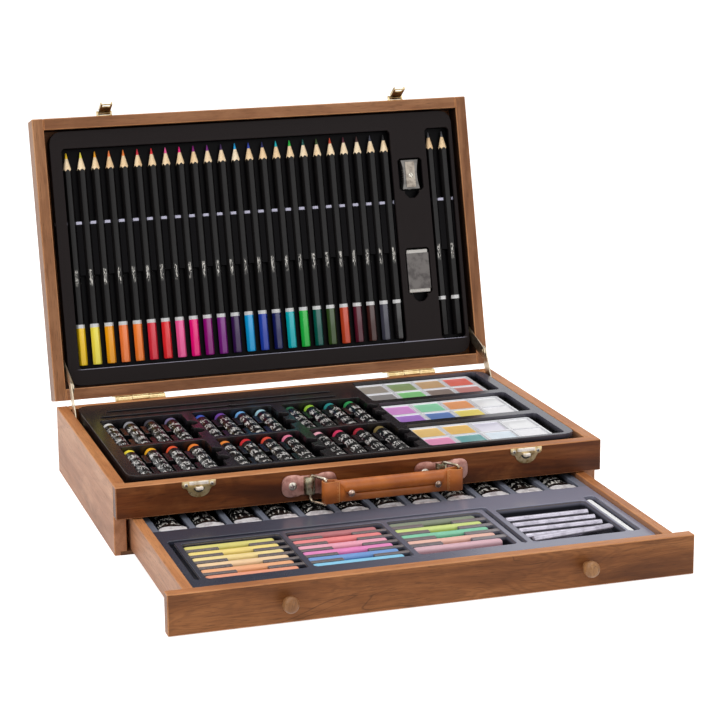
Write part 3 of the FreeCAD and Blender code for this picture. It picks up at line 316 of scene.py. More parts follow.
def leather(name, colour, dark):
    """Tanned leather, darker towards the bottom as painted shade."""
    s = Shader(name)
    cells = s.cells(s.coords(), 1100.0, "DISTANCE_TO_EDGE")
    creases = s.noise(130.0, 4.0, 0.6, 0.4, s.coords(scale=(1.0, 2.0, 2.0)))
    tone = s.mix(s.mask(s.noise(45.0, 3.0, 0.6), 0.30, 0.72), screen(dark), screen(colour))
    tone = s.mix(s.times(s.mask(creases, 0.55, 0.75), 0.3), tone, screen(dark))
    # Painted shade: the lower part of the strap is darkened.
    lower_shade = s.invert(s.mask(s.axis("Z", "Object"), 0.0355, 0.0420))
    tone = s.mix(s.times(lower_shade, 0.6), tone, s.shaded(tone, 0.42))
    height = s.math("ADD", s.mask(cells, 0.0, 0.25), s.times(creases, 1.4))
    s.set(Specular_IOR_Level=0.45, Coat_Weight=0.12, Coat_Roughness=0.3)
    return s.finish(tone, s.scaled(creases, 0.2, 0.34), s.bump(height, 0.00005, 0.6))


# The ranges in the three trays are metres in the shared frame.
def lid_tray_plastic(name, colour, deep, glint):
    """Formed sheet, with painted shade in its recesses and painted highlights on the top ends of the ridges between the
    pencils and along the pencil recess's lower lip. Its places are those of the closed lid.
    """
    s = Sheet(name)
    # Painted shade: the recesses turn near black.
    shade = s.mix(s.mask(s.axis("Z"), 0.0602, 0.0622), screen(colour), screen(deep))
    # Painted highlights: a light strip on the top ends of the ridges between the pencils, and a thin line along the
    # pencil recess's lower lip.
    saddle = s.times(s.between(s.axis("Y"), -0.0308, -0.0280, 0.0002), s.between(s.axis("Z"), 0.0630, 0.0645, 0.0002))
    lip_highlight = s.times(s.between(s.axis("Y"), 0.0918, 0.0924, 0.0002), s.between(s.axis("Z"), 0.0585, 0.0600, 0.0002))
    lip_highlight = s.times(lip_highlight, s.between(s.axis("X"), -0.166, 0.172, 0.004))
    shade = s.mix(s.times(saddle, 0.8), shade, screen(glint))
    shade = s.mix(s.times(lip_highlight, 0.5), shade, screen(glint))
    s.set(Specular_IOR_Level=0.06)
    return s.formed(shade, 0.34)


def upper_tray_plastic(name, colour, deep, pale):
    """Formed sheet, with painted shade in its cells and painted light along its right side."""
    s = Sheet(name)
    # Painted light: the top is paler towards the right side.
    top = s.mix(s.times(s.mask(s.axis("X"), 0.10, 0.168), 0.8), screen(colour), screen(pale))
    # Painted shade: the cells are near black below the top.
    return s.formed(s.mix(s.mask(s.axis("Z"), 0.0525, 0.0568), screen(deep), top), 0.17)


def drawer_tray_plastic(name, colour, pale, bars, dusty):
    """Formed sheet, with painted light towards the right and where the light falls on the walls between the tubes, and
    painted shade in its recesses.
    """
    s = Sheet(name)
    # Painted light: paler towards the right.
    shade = s.mix(s.times(s.mask(s.axis("X"), -0.14, 0.15), 0.8), screen(colour), screen(pale))
    dust = s.times(s.between(s.axis("Z"), 0.0244, 0.0254, 0.0002), s.between(s.axis("Y"), -0.246, -0.166, 0.0006))
    shade = s.mix(s.times(dust, s.mask(s.fine, 0.30, 0.60)), shade, screen(dusty))
    walls = s.times(s.mask(s.axis("Z"), 0.0236, 0.0256), s.between(s.axis("Y"), -0.1385, -0.082, 0.0006))
    shade = s.mix(s.times(walls, 0.85), shade, screen(bars))
    # Painted shade: below the surface, in the recesses, the colour falls to a tenth.
    surface = s.mask(s.axis("Z"), 0.0215, 0.0246)
    s.set(Specular_IOR_Level=s.scaled(surface, 0.38, 0.04))
    return s.formed(s.mix(surface, s.shaded(shade, 0.10), shade), 0.18)


WOOD_DARK = wood("walnut_rail", (60, 26, 6), (106, 54, 20), (146, 88, 46), 0.9, knots=0.3, roughness=0.42, shine=0.2)
WOOD_MID = wood("walnut_figured", (82, 43, 17), (131, 79, 40), (164, 107, 63), 1.5, knots=0.5, streaks=0.25,
                shine=0.25)
# Painted light: a lighter copy of the walnut for the boards that face sideways, lit as if from the left.
WOOD_SIDE_LIT = wood("walnut_side", (140, 90, 58), (178, 124, 90), (202, 152, 118), 0.7, roughness=0.5, streaks=0.3)
# Painted light: a paler copy of the walnut for the boards' top faces, lit as if from above.
WOOD_RIM_LIT = wood("walnut_rim", (150, 90, 48), (188, 122, 74), (212, 148, 98), 0.6, streaks=0.3)
# Painted highlight: a lighter copy of the walnut for the boards' rounded edges.
WOOD_ARRIS_SHINE = wood("walnut_arris", (170, 108, 64), (204, 142, 92), (222, 166, 118), 0.4)
WOOD_LID = wood("walnut_lid_edge", (106, 64, 36), (146, 98, 64), (168, 120, 84), 0.8, knots=0.2, streaks=0.3,
                shine=0.22)
# Painted shade: a near-black copy of the walnut for the lid boards' inner faces, in the gap round the lid tray.
WOOD_INNER_SHADE = wood("walnut_inner", (26, 14, 8), (44, 26, 16), (62, 38, 24), 0.8)
PLYWOOD = wood("stained_plywood", (70, 42, 24), (104, 68, 42), (132, 92, 62), 0.8, roughness=0.55)
KNOB_WOOD = wood("turned_wood", (104, 66, 36), (150, 102, 62), (178, 132, 88), 1.6, roughness=0.36)
PENCIL_WOOD = wood("cedar", (232, 192, 144), (252, 222, 178), (255, 236, 204), 0.6, roughness=0.6, streaks=0.2)
# The near-black colour is painted shade in the cells, and the pale one painted light on the right.
TRAY = upper_tray_plastic("tray_black", (36, 32, 34), (7, 6, 8), (88, 86, 98))
# The near-black colour is painted shade in the recesses, and the light one is painted highlights.
LID_TRAY = lid_tray_plastic("tray_charcoal", (34, 29, 29), (4, 3, 5), (216, 214, 236))
# The pale colour is painted light towards the right, and the bar colour painted light on the walls between the tubes.
DRAWER_TRAY = drawer_tray_plastic("tray_slate", (58, 60, 73), (146, 146, 164), (120, 126, 140), (128, 118, 114))
CLEAR = plastic("palette_clear", (236, 236, 240), 0.14, coat=0.6)
CAP = plastic("cap_black", (20, 20, 21), 0.34)
WHITE_RING = plastic("ring_white", (222, 222, 222), 0.35)
# Painted shade: a dark material for thin blocks that stand in slots.
SLOT_SHADOW = plastic("slot_shadow", (20, 18, 16), 0.5)
BARREL = printed("pencil_lacquer", (14, 12, 12), (240, 236, 228), 0.30, start=0.064, end=0.079, low=0.69, high=0.79,
                 along=170.0, around=22.0, width=0.075, turn=90.0, level=0.2)
WRAP = printed("pastel_wrapper", (15, 14, 15), (226, 222, 218), 0.20, start=0.004, end=0.055, low=0.33, high=0.68,
               along=120.0, around=17.0, width=0.075, turn=420.0)
LABEL = printed("tube_label", (12, 11, 12), (240, 236, 228), 0.20, start=0.008, end=0.040, low=0.32, high=0.68,
                along=100.0, around=15.0, width=0.06, turn=640.0)
NICKEL = metal("nickel", (206, 194, 176), (140, 122, 100), 0.22)
RIVET = metal("dark_nickel", (176, 152, 138), (104, 84, 72), 0.20)
BRASS = metal("pale_brass", (214, 192, 146), (192, 168, 120), 0.26)
CATCH = metal("catch_champagne", (204, 184, 142), (142, 116, 74), 0.28, scratches=0.2)
STAY = metal("stay_nickel", (214, 200, 176), (188, 172, 146), 0.30)
SADDLE = metal("saddle_nickel", (170, 164, 140), (96, 90, 72), 0.26)
PLATE = metal("plate_nickel", (194, 150, 138), (158, 112, 102), 0.34, scratches=0.2)
STEEL = metal("screw_steel", (196, 190, 178), None, 0.28)
# Painted highlight: a brighter, less metallic copy of the catch metal, for the tongue and the hook.
TONGUE_SHINE = metal("catch_tongue", (250, 242, 232), (214, 200, 178), 0.40, scratches=0.2, metallic=0.35)
SILVER = metal("cast_silver", (112, 109, 106), None, 0.42, scratches=0.6, metallic=0.8)
BLADE = metal("blade_steel", (140, 132, 122), (112, 104, 96), 0.32)
FOIL = metal("tube_foil", (246, 244, 246), (196, 190, 194), 0.34, scratches=0.8, metallic=0.35)
SLEEVE = metal("sleeve_foil", (92, 88, 86), (72, 68, 67), 0.40, scratches=1.0, metallic=0.8)
GRAPHITE = metal("charcoal_grey", (186, 182, 194), (164, 160, 172), 0.42, scratches=0.4)
LEATHER = leather("tan_leather", (198, 110, 36), (160, 82, 22))
LEATHER_EDGE = leather("leather_edge", (226, 158, 92), (184, 116, 60))
RUBBER = chalky("eraser_white", 0.6, 0.4, (208, 204, 198))
CHALK = chalky("white_chalk", 0.75, 0.2, (250, 250, 250))
PASTEL = chalky("pastel", 0.75)
# The bars' tops are paler, as painted light from above.
BAR = chalky("pastel_bar", 0.62, 0.35, pale=0.18)
PAINT = chalky("dry_paint", 0.45, 0.5, grain=0.00012, coat=0.7)
LEAD = chalky("pencil_lead", 0.5, 0.4)
DIP = enamel("pencil_dip")


# ---------------------------------------------------------------- mesh helpers
def linked(name, data):
    item = bpy.data.objects.new(name, data)
    bpy.context.scene.collection.objects.link(item)
    return item


def new_object(name, mesh, materials, node=None, body=None, slot=None):
    """A piece in a CAD node's place, or one added to a body."""
    piece = linked(name, mesh)
    for item in materials:
        mesh.materials.append(item)
    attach(piece, body or BODY_OF[node])
    if node:
        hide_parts(node)
    slot or SLOT_OF[node]
    return piece


def store(mesh, name, values, kind="FLOAT_VECTOR"):
    """Keeps a value with each point of a mesh, for its material."""
    attribute = mesh.attributes.new(name, kind, "POINT")
    attribute.data.foreach_set("color" if kind == "FLOAT_COLOR" else "vector", [v for item in values for v in item])


def add_grain(mesh, matrix, seed):
    """Keeps grain-aligned places, with each piece cut from its own place in the tree."""
    rng = random.Random(seed)
    shift = Vector((rng.uniform(-5, 5), rng.uniform(-5, 5), rng.uniform(-5, 5)))
    store(mesh, "grain", [matrix @ vertex.co + shift for vertex in mesh.vertices])


def merged(mesh):
    work = bmesh.new()
    work.from_mesh(mesh)
    bmesh.ops.remove_doubles(work, verts=work.verts, dist=MERGE)
    return work


def round_edges(work, width, segments, angle, material=-1):
    """Rounds the edges that turn by more than an angle."""
    edges = [edge for edge in work.edges if edge.calc_face_angle(0.0) > math.radians(angle)]
    bmesh.ops.bevel(work, geom=edges, offset=width, segments=segments, profile=0.5, affect="EDGES",
                    clamp_overlap=True, material=material)


def settle(work, mesh, angle):
    """Writes an edited shape to its mesh, with its large faces cut up and smooth shading below an angle."""
    bmesh.ops.triangulate(work, faces=[face for face in work.faces if len(face.verts) > 4])
    work.to_mesh(mesh)
    work.free()
    mesh.polygons.foreach_set("use_smooth", [True] * len(mesh.polygons))
    mesh.set_sharp_from_angle(angle=math.radians(angle))


class Solid:
    """One of the separate solids of a CAD node: its points, and the box round them."""

    def __init__(self, points):
        self.points = points
        self.low = Vector([min(point[axis] for point in points) for axis in range(3)])
        self.high = Vector([max(point[axis] for point in points) for axis in range(3)])
        self.middle = (self.low + self.high) / 2
        self.wide, self.deep, self.tall = [high - low for low, high in zip(self.low, self.high)]


def solids(node, matrix=AS_IS):
    """The solids of a CAD node, from the left and the front."""
    work = merged(NODES[node].data)
    found = []
    seen = set()
    for start in work.verts:
        if start in seen:
            continue
        stack = [start]
        seen.add(start)
        points = []
        while stack:
            vertex = stack.pop()
            points.append(matrix @ vertex.co)
            for edge in vertex.link_edges:
                other = edge.other_vert(vertex)
                if other not in seen:
                    seen.add(other)
                    stack.append(other)
        found.append(Solid(points))
    work.free()
    return sorted(found, key=lambda solid: (round(solid.low.x, ROW_DIGITS), round(solid.low.y, ROW_DIGITS)))


def in_rows(*lists, across=0):
    """Matching solids of one or more nodes, with the number of their row and their order in it. The rows lie
    side by side across the box, or one behind another when across is 1."""
    rows = {}
    for group in zip(*lists):
        rows.setdefault(round(group[0].low[across], ROW_DIGITS), []).append(group)
    for row, place in enumerate(sorted(rows)):
        for order, group in enumerate(sorted(rows[place], key=lambda group: group[0].low[1 - across])):
            yield row, order, *group


def circle(middle, u_axis, v_axis, radius, count):
    """Points round a centre, from its lowest one when v points up."""
    angles = [math.radians(-90.0 + 360 * i / count) for i in range(count)]
    return [middle + u_axis * (radius * math.cos(a)) + v_axis * (radius * math.sin(a)) for a in angles]


def arcs(centres, steps):
    """Quarter circles about four centres (u, v, radius), from the lower right one round to the lower left."""
    points = []
    for corner, (u, v, radius) in enumerate(centres):
        for step in range(steps + 1):
            a = math.radians(90 * (corner - 1) + 90 / steps * step)
            points.append((u + radius * math.cos(a), v + radius * math.sin(a)))
    return points


def signed_power(value, power):
    return math.copysign(abs(value) ** power, value)


def ease(value):
    """Rises smoothly from 0 at 0 to 1 at 1."""
    value = min(max(value, 0.0), 1.0)
    return value * value * (3 - 2 * value)


class Piece:
    """Collects the lofted and cut shapes of one object, with a tint and a local place for each point."""

    def __init__(self):
        self.points = []
        self.faces = []
        self.kinds = []
        self.places = []
        self.tints = []

    def loft(self, rings, kinds=0, tint=WHITE, number=0, caps=(True, True), joined=False):
        """Skins rings of points, each given as (distance along, points). kinds is per band."""
        base = len(self.points)
        count = len(rings[0][1])
        for along, ring in rings:
            for i, point in enumerate(ring):
                self.points.append(Vector(point))
                self.places.append((along, i / count, number * NUMBER_STEP))
                self.tints.append(tint)
        if isinstance(kinds, int):
            kinds = [kinds] * len(rings)
        bands = len(rings) if joined else len(rings) - 1
        for band in range(bands):
            a = base + band * count
            b = base + ((band + 1) % len(rings)) * count
            for i in range(count):
                j = (i + 1) % count
                self.faces.append((a + i, a + j, b + j, b + i))
                self.kinds.append(kinds[band])
        for wanted, index, kind in ((caps[0], 0, kinds[0]), (caps[1], len(rings) - 1, kinds[bands - 1])):
            if wanted and not joined:
                self.faces.append(tuple(range(base + index * count, base + (index + 1) * count)))
                self.kinds.append(kind)

    def slab(self, outline, thickness, bevel, kind=0):
        """A flat plate from its outline, with its edges rounded."""
        work = bmesh.new()
        face = work.faces.new([work.verts.new(point) for point in outline])
        made = bmesh.ops.extrude_face_region(work, geom=[face])
        bmesh.ops.translate(work, vec=thickness,
                            verts=[item for item in made["geom"] if isinstance(item, bmesh.types.BMVert)])
        bmesh.ops.recalc_face_normals(work, faces=work.faces)
        if bevel:
            round_edges(work, bevel, 2, 40)
        work.verts.index_update()
        base = len(self.points)
        for vertex in work.verts:
            self.points.append(vertex.co.copy())
            self.places.append((vertex.co.x, 0.5, 0.0))
            self.tints.append(WHITE)
        for item in work.faces:
            self.faces.append(tuple(base + vertex.index for vertex in item.verts))
            self.kinds.append(kind)
        work.free()

    def block(self, low, high, bevel, kind=0):
        low, high = Vector(low), Vector(high)
        self.slab([(low.x, low.y, low.z), (high.x, low.y, low.z), (high.x, high.y, low.z), (low.x, high.y, low.z)],
                  Vector((0, 0, high.z - low.z)), bevel, kind)

    def turned(self, start, axis, profile, count, kinds=0, tint=WHITE, number=0):
        """A turned shape: profile is (distance along the axis, radius) in metres."""
        u_axis = (axis.cross(Z_AXIS) if abs(axis.z) < 0.9 else X_AXIS).normalized()
        v_axis = u_axis.cross(axis).normalized()
        if v_axis.z < 0:
            v_axis = -v_axis
        self.loft([(d, circle(start + axis * d, u_axis, v_axis, r, count)) for d, r in profile], kinds, tint, number)

    def screw(self, place, out, radius, rise, turn, cross=True):
        """A domed screw head on a surface, its size in millimetres, with dark blocks standing in its slots as painted
        shade.
        """
        radius *= MM
        rise *= MM
        side = (Z_AXIS if abs(out.z) < 0.7 else X_AXIS).cross(out).normalized()
        up = out.cross(side)
        self.loft([(0, circle(place + out * (rise * a), side, up, radius * b, 20))
                   for a, b in ((0, 1.0), (0.25, 1.0), (0.6, 0.86), (0.85, 0.6), (1.0, 0.3))])
        long = radius * (0.62 if cross else 0.9)
        wide = 0.24 * MM
        floor = place + out * (rise * 0.55)
        # The slots are dark blocks, painted shade, not cuts.
        for step in range(2 if cross else 1):
            a = math.radians(turn + 90 * step)
            along = side * math.cos(a) + up * math.sin(a)
            across = out.cross(along)
            self.slab([floor + along * (u * long) + across * (v * wide)
                       for u, v in ((-1, -1), (1, -1), (1, 1), (-1, 1))], out * (rise * 0.47), 0.0, 1)

    def make(self, name, materials, matrix=AS_IS, angle=35.0, grain=None, body=None, slot=None):
        """The finished object. A CAD node's name puts it in that node's place; any other needs a body and a slot,
        though the slot is not used.
        """
        node = name if body is None else None
        name = name + "_look" if node else name
        mesh = bpy.data.meshes.new(name)
        mesh.from_pydata([matrix @ point for point in self.points], [], self.faces)
        mesh.polygons.foreach_set("material_index", self.kinds)
        store(mesh, "place", self.places)
        store(mesh, "tint", self.tints, "FLOAT_COLOR")
        if grain is not None:
            add_grain(mesh, grain, name)
        work = bmesh.new()
        work.from_mesh(mesh)
        bmesh.ops.recalc_face_normals(work, faces=work.faces)
        settle(work, mesh, angle)
        new_object(name, mesh, materials, node, body, slot)


def dressed(node, materials, bevel, segments=2, grain=None, rule=None, arris=-1, local=AS_IS, join=True):
    """A copy of a CAD node with its flat faces joined and its edges softly rounded, in millimetres.
    rule gives a face's material from its normal and centre, and arris is the rounded edges' material.
    local takes the node to where rule and the kept place are told."""
    mesh = NODES[node].data.copy()
    mesh.materials.clear()
    work = merged(mesh)
    if join:
        bmesh.ops.dissolve_limit(work, angle_limit=FLAT, verts=work.verts, edges=work.edges)
    work.normal_update()
    for face in work.faces:
        face.material_index = rule(local.to_3x3() @ face.normal, local @ face.calc_center_median()) if rule else 0
    round_edges(work, bevel * MM, segments, 35, arris)
    settle(work, mesh, 40)
    if grain is not None:
        add_grain(mesh, grain, node)
    store(mesh, "place", [local @ vertex.co for vertex in mesh.vertices])
    piece = new_object(node + "_look", mesh, materials, node)
    piece.modifiers.new("normals", "WEIGHTED_NORMAL").keep_sharp = True


# ---------------------------------------------------------------- wooden boards
UP = 0.7                    # a face looks along an axis when its normal reaches this far along it
tray_low, tray_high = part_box("upper_tray")
LID_MIDDLE = ((tray_low + tray_high) / 2).y


def case_rule(normal, middle):
    return 1 if normal.z > UP else 0


def lid_rule(normal, middle):
    """The lid's rim side faces down while the lid is closed, and its inner faces look to its middle."""
    if normal.z < -UP:
        return 1
    inward = normal.x * middle.x < -0.7 * abs(middle.x) if abs(normal.x) > UP else \
        abs(normal.y) > UP and normal.y * (middle.y - LID_MIDDLE) < 0
    return 3 if inward else 0


# The top faces get the paler walnut as painted light from above, and the rounded edges the lighter one as a painted
# highlight.
for node, face, grain in (("case_side_left", WOOD_SIDE_LIT, ALONG_Y), ("case_side_right", WOOD_SIDE_LIT, ALONG_Y),
                          ("case_back", WOOD_DARK, ALONG_X), ("front_rail", WOOD_DARK, ALONG_X),
                          ("drawer_side_left", WOOD_SIDE_LIT, ALONG_Y), ("drawer_side_right", WOOD_SIDE_LIT, ALONG_Y),
                          ("drawer_back", WOOD_SIDE_LIT, ALONG_X), ("drawer_front", WOOD_MID, ALONG_X)):
    dressed(node, [face, WOOD_RIM_LIT, WOOD_ARRIS_SHINE], 0.35, grain=grain, rule=case_rule, arris=2)
# The lid boards' inner faces get the near-black walnut as painted shade.
for node, face, grain in (("lid_side_left", WOOD_LID, ALONG_Y), ("lid_side_right", WOOD_LID, ALONG_Y),
                          ("lid_front_board", WOOD_MID, ALONG_X), ("lid_back_board", WOOD_DARK, ALONG_X)):
    dressed(node, [face, WOOD_LID, WOOD_ARRIS_SHINE, WOOD_INNER_SHADE], 0.35, grain=grain @ CLOSE, rule=lid_rule, arris=2,
            local=CLOSE)
for node in ("case_bottom", "tray_shelf", "drawer_bottom"):
    dressed(node, [PLYWOOD], 0.2, 1, grain=ALONG_X)
dressed("lid_panel", [WOOD_MID], 0.2, 1, grain=ALONG_X @ CLOSE)

# ---------------------------------------------------------------- trays
dressed("upper_tray", [TRAY], 0.55, 3)
dressed("lid_tray", [LID_TRAY], 0.4, local=CLOSE, join=False)
dressed("drawer_tray", [DRAWER_TRAY], 0.5, 3)

# ---------------------------------------------------------------- pencils
PENCIL_COLOURS = (
    (255, 208, 24), (255, 238, 84), (252, 168, 14), (255, 134, 66), (255, 136, 50), (228, 44, 66), (240, 44, 50),
    (255, 98, 166), (252, 14, 132), (146, 8, 124), (128, 30, 134), (54, 22, 78), (10, 168, 232), (36, 66, 176),
    (20, 26, 88), (0, 186, 196), (34, 190, 66), (0, 88, 80), (54, 78, 32), (206, 72, 38), (84, 20, 40),
    (62, 28, 24), (66, 66, 80), (22, 20, 20))
GRAPHITE_GREY = (74, 74, 78)    # of the leads in the pencils after the coloured ones
HEX_POINTS = 24
HEX_ANGLES = [2 * math.pi * i / HEX_POINTS for i in range(HEX_POINTS)]
CORNER_TRIM = 0.965         # rounded corners of a pencil's hexagon, against sharp ones
DIP_LENGTH = 31 * MM
RING_LENGTH = 3 * MM


def hexagon(angle, apothem):
    """Distance to a hexagon's edge, with a corner at angle 0."""
    turn = (math.degrees(angle) % 60) - 30
    reach = apothem / math.cos(math.radians(turn))
    return reach * (CORNER_TRIM if abs(turn) > 29 else 1.0)


barrels, tips, leads = Piece(), Piece(), Piece()
pencils = zip(solids("pencil_barrels", CLOSE), solids("pencil_tips", CLOSE), solids("pencil_leads", CLOSE))
for number, (barrel, tip, lead) in enumerate(pencils):
    low, high, middle = barrel.low, barrel.high, barrel.middle
    lead_start = tip.low.y
    point = lead.low.y
    sides = [hexagon(a, barrel.tall / 2) for a in HEX_ANGLES]
    slope = barrel.wide / 2 / (low.y - point)
    lead_radius = (lead_start - point) * slope
    coloured = number < len(PENCIL_COLOURS)
    colour = screen(PENCIL_COLOURS[number] if coloured else GRAPHITE_GREY)
    dip = 0 if coloured else 2

    def ring(y, share=1.0, radius=None):
        return (high.y - y, [Vector((middle.x + r * math.cos(a), y, middle.z + r * math.sin(a)))
                             for a, r in zip(HEX_ANGLES, [radius or share * side for side in sides])])

    # The lacquer ends in scallops, where the cone of the tip cuts the hexagon.
    scallop = [Vector((middle.x + r * math.cos(a), point + r / slope, middle.z + r * math.sin(a)))
               for a, r in zip(HEX_ANGLES, sides)]
    barrels.loft([ring(high.y, 0.72), ring(high.y - 0.3 * MM, 0.92), ring(high.y - 1.0 * MM),
                  ring(high.y - DIP_LENGTH), ring(high.y - DIP_LENGTH - RING_LENGTH), ring(low.y + 1.0 * MM),
                  (high.y - low.y, scallop)], [dip, dip, dip, 1, 2, 2], colour, number, caps=(True, False))
    tips.loft([(0.0, scallop), ring(lead_start, radius=lead_radius)], 0, WHITE, number, caps=(False, False))
    leads.loft([ring(lead_start, radius=lead_radius), ring(point + 0.6 * MM, radius=0.42 * MM),
                ring(point, radius=0.2 * MM)], 0, colour, number)
barrels.make("pencil_barrels", [DIP, WHITE_RING, BARREL], OPEN, 25.0)
tips.make("pencil_tips", [PENCIL_WOOD], OPEN, grain=ALONG_Y @ CLOSE)
leads.make("pencil_leads", [LEAD], OPEN)

# ---------------------------------------------------------------- pastels
# By column of cells from the left, then by row from the front, four sticks to a cell.
PASTEL_COLOURS = (
    ((246, 222, 60), (250, 180, 30), (236, 86, 40), (244, 130, 40)),
    ((226, 224, 220), (150, 150, 156), (62, 58, 66), (124, 110, 150)),
    ((244, 140, 50), (206, 34, 40), (226, 74, 50), (236, 128, 158)),
    ((60, 90, 190), (112, 66, 160), (110, 170, 226), (170, 212, 226)),
    ((244, 176, 190), (214, 52, 96), (168, 28, 48), (128, 110, 60)),
    ((28, 92, 60), (156, 204, 60), (36, 140, 140), (44, 150, 80)))
PAPER = 0.45 * MM           # thickness of a pastel's wrapper
wrappers, sticks = Piece(), Piece()
for column, row, wrapper, stick in in_rows(solids("pastel_wrappers"), solids("pastel_sticks")):
    start = Vector((wrapper.middle.x, wrapper.low.y, wrapper.middle.z))
    radius = wrapper.wide / 2 * 1.03
    core = radius - PAPER
    length = wrapper.deep
    tip = stick.high.y - wrapper.low.y
    number = column * 2 + row
    wrappers.turned(start, Y_AXIS, [(0, core * 0.9), (0.3 * MM, radius * 0.97), (0.9 * MM, radius),
                                    (length - 0.1 * MM, radius), (length, radius - 0.1 * MM), (length, core)],
                    28, [0, 0, 0, 0, 1], WHITE, number)
    sticks.turned(start, Y_AXIS, [(length - 1.0 * MM, core), (tip - 1.6 * MM, core * 0.985),
                                  (tip - 0.6 * MM, core * 0.93), (tip - 0.1 * MM, core * 0.8), (tip, core * 0.62)],
                  24, 0, screen(PASTEL_COLOURS[column // 4 * 2 + row][column % 4]), number)
wrappers.make("pastel_wrappers", [WRAP, LEATHER_EDGE])
sticks.make("pastel_sticks", [PASTEL])

# ---------------------------------------------------------------- palettes and paints
# From the front palette to the back one, each by column from the left, front pan first.
PAINT_COLOURS = (
    ((248, 148, 196), (255, 208, 112), (80, 168, 168), (255, 200, 84), (214, 230, 242), (228, 224, 242),
     (242, 240, 244), (248, 248, 250)),
    ((174, 108, 216), (234, 146, 228), (74, 120, 194), (142, 228, 178), (253, 230, 92), (255, 162, 86),
     (242, 240, 244), (248, 248, 250)),
    ((140, 134, 132), (166, 156, 142), (128, 216, 122), (136, 166, 94), (138, 116, 104), (220, 174, 116),
     (212, 128, 122), (255, 100, 80)))
PAN_CORNER = 1.6 * MM
PAN_GAP = 0.15 * MM         # between a pan and the palette
# Inset from the pan's outline and depth under its top, in millimetres: over the pan's rim into the paint.
PAN_SECTIONS = ((0.0, 0.5), (0.25, 0.1), (0.8, 0.0), (1.1, 0.3), (2.4, 0.45), (4.5, 0.5))
dressed("palette_trays", [CLEAR], 0.35)
paints = Piece()
for line, column, pan in in_rows(solids("paint_pans"), across=1):
    middle = pan.middle
    half_x = pan.wide / 2 - PAN_GAP
    half_y = pan.deep / 2 - PAN_GAP

    def outline(inset, z):
        centres = [(middle.x + cx * (half_x - inset - PAN_CORNER), middle.y + cy * (half_y - inset - PAN_CORNER),
                    PAN_CORNER) for cx, cy in ((1, -1), (1, 1), (-1, 1), (-1, -1))]
        return (0, [Vector((x, y, z)) for x, y in arcs(centres, 4)])

    paints.loft([outline(0.0, pan.low.z)] + [outline(a * MM, pan.high.z - b * MM) for a, b in PAN_SECTIONS],
                [1, 1, 1, 1, 0, 0], screen(PAINT_COLOURS[line // 2][column * 2 + line % 2]), line * 8 + column)
paints.make("paint_pans", [PAINT, CLEAR])

# ---------------------------------------------------------------- bars, charcoal and the white bar
# By group from the left, each from its front row to its back one.
BAR_COLOURS = (
    ((244, 136, 80), (250, 162, 88), (252, 206, 146), (252, 220, 126), (252, 220, 90), (222, 208, 66)),
    ((108, 202, 240), (56, 136, 214), (240, 104, 186), (248, 152, 178), (244, 100, 100), (180, 56, 66)),
    ((224, 170, 182), (246, 182, 160), (96, 200, 154), (208, 226, 100), (92, 106, 62)))
# Half the section, as shares of half the width and of the height.
BAR_SECTION = [(0.0, 0.0), (0.86, 0.0), (1.0, 0.10), (1.0, 0.66), (0.94, 0.80), (0.80, 0.90), (0.55, 0.96),
               (0.28, 0.99), (0.0, 1.0)]
BAR_SECTION += [(-u, v) for u, v in reversed(BAR_SECTION[1:-1])]
BAR_WOBBLE = 0.12 * MM      # how far the top dips along the bar


def bar(piece, low, high, tint, number):
    """A pressed stick along X with a domed top and worn ends."""
    rng = random.Random(number)
    y = ((low + high) / 2).y
    half_y = (high.y - low.y) / 2
    length = high.x - low.x
    rings = []
    for share, scale in ((0.0, 0.84), (0.010, 0.95), (0.03, 1.0), (0.2, 1.0), (0.4, 1.0), (0.6, 1.0), (0.8, 1.0),
                         (0.97, 1.0), (0.990, 0.95), (1.0, 0.84)):
        height = high.z - low.z + rng.uniform(-BAR_WOBBLE, 0.0)
        rings.append((share * length, [Vector((low.x + share * length, y + u * half_y * scale,
                                               low.z + (0.5 + (v - 0.5) * scale) * height))
                                       for u, v in BAR_SECTION]))
    piece.loft(rings, 0, tint, number)


bars = Piece()
for group, row, solid in in_rows(solids("pastel_bars")):
    bar(bars, solid.low, solid.high, screen(BAR_COLOURS[group][row]), group * 10 + row)
bars.make("pastel_bars", [BAR], angle=50.0)

white = Piece()
solid = solids("white_bar")[0]
half = Vector((solid.deep / 2, solid.wide / 2, solid.tall / 2))
bar(white, -half, half, WHITE, 91)
white.make("white_bar", [CHALK], Matrix.Translation(solid.middle) @ ALONG_Y, 50.0)

coals = Piece()
for number, coal in enumerate(solids("charcoal_sticks")):
    cut = (coal.low.x + coal.high.x) / 2
    ends = []
    for side in (-1, 1):
        group = [point for point in coal.points if (point.x - cut) * side > 0]
        ends.append(sum(group, Vector()) / len(group))
    axis = (ends[1] - ends[0]).normalized()
    length = (ends[1] - ends[0]).length
    radius = coal.tall / 2
    rng = random.Random(number + 40)
    near_end, end = (0.45, 0.25) if axis.y > 0.05 else (0.95, 0.7)      # the slanting stick is tapered
    coals.turned(ends[0], axis, [(0, radius * 0.6), (0.5 * MM, radius * 0.93)]
                 + [(length * share, radius * rng.uniform(0.97, 1.0)) for share in (0.03, 0.2, 0.4, 0.6, 0.8, 0.95)]
                 + [(length - 0.4 * MM, radius * near_end), (length, radius * end)], 16, 0, WHITE, number)
coals.make("charcoal_sticks", [GRAPHITE], angle=50.0)

# ---------------------------------------------------------------- paint tubes
TUBE_POINTS = 36
CRIMP_REACH = 1.4 * MM      # how far the crimp reaches in front of the CAD's tube
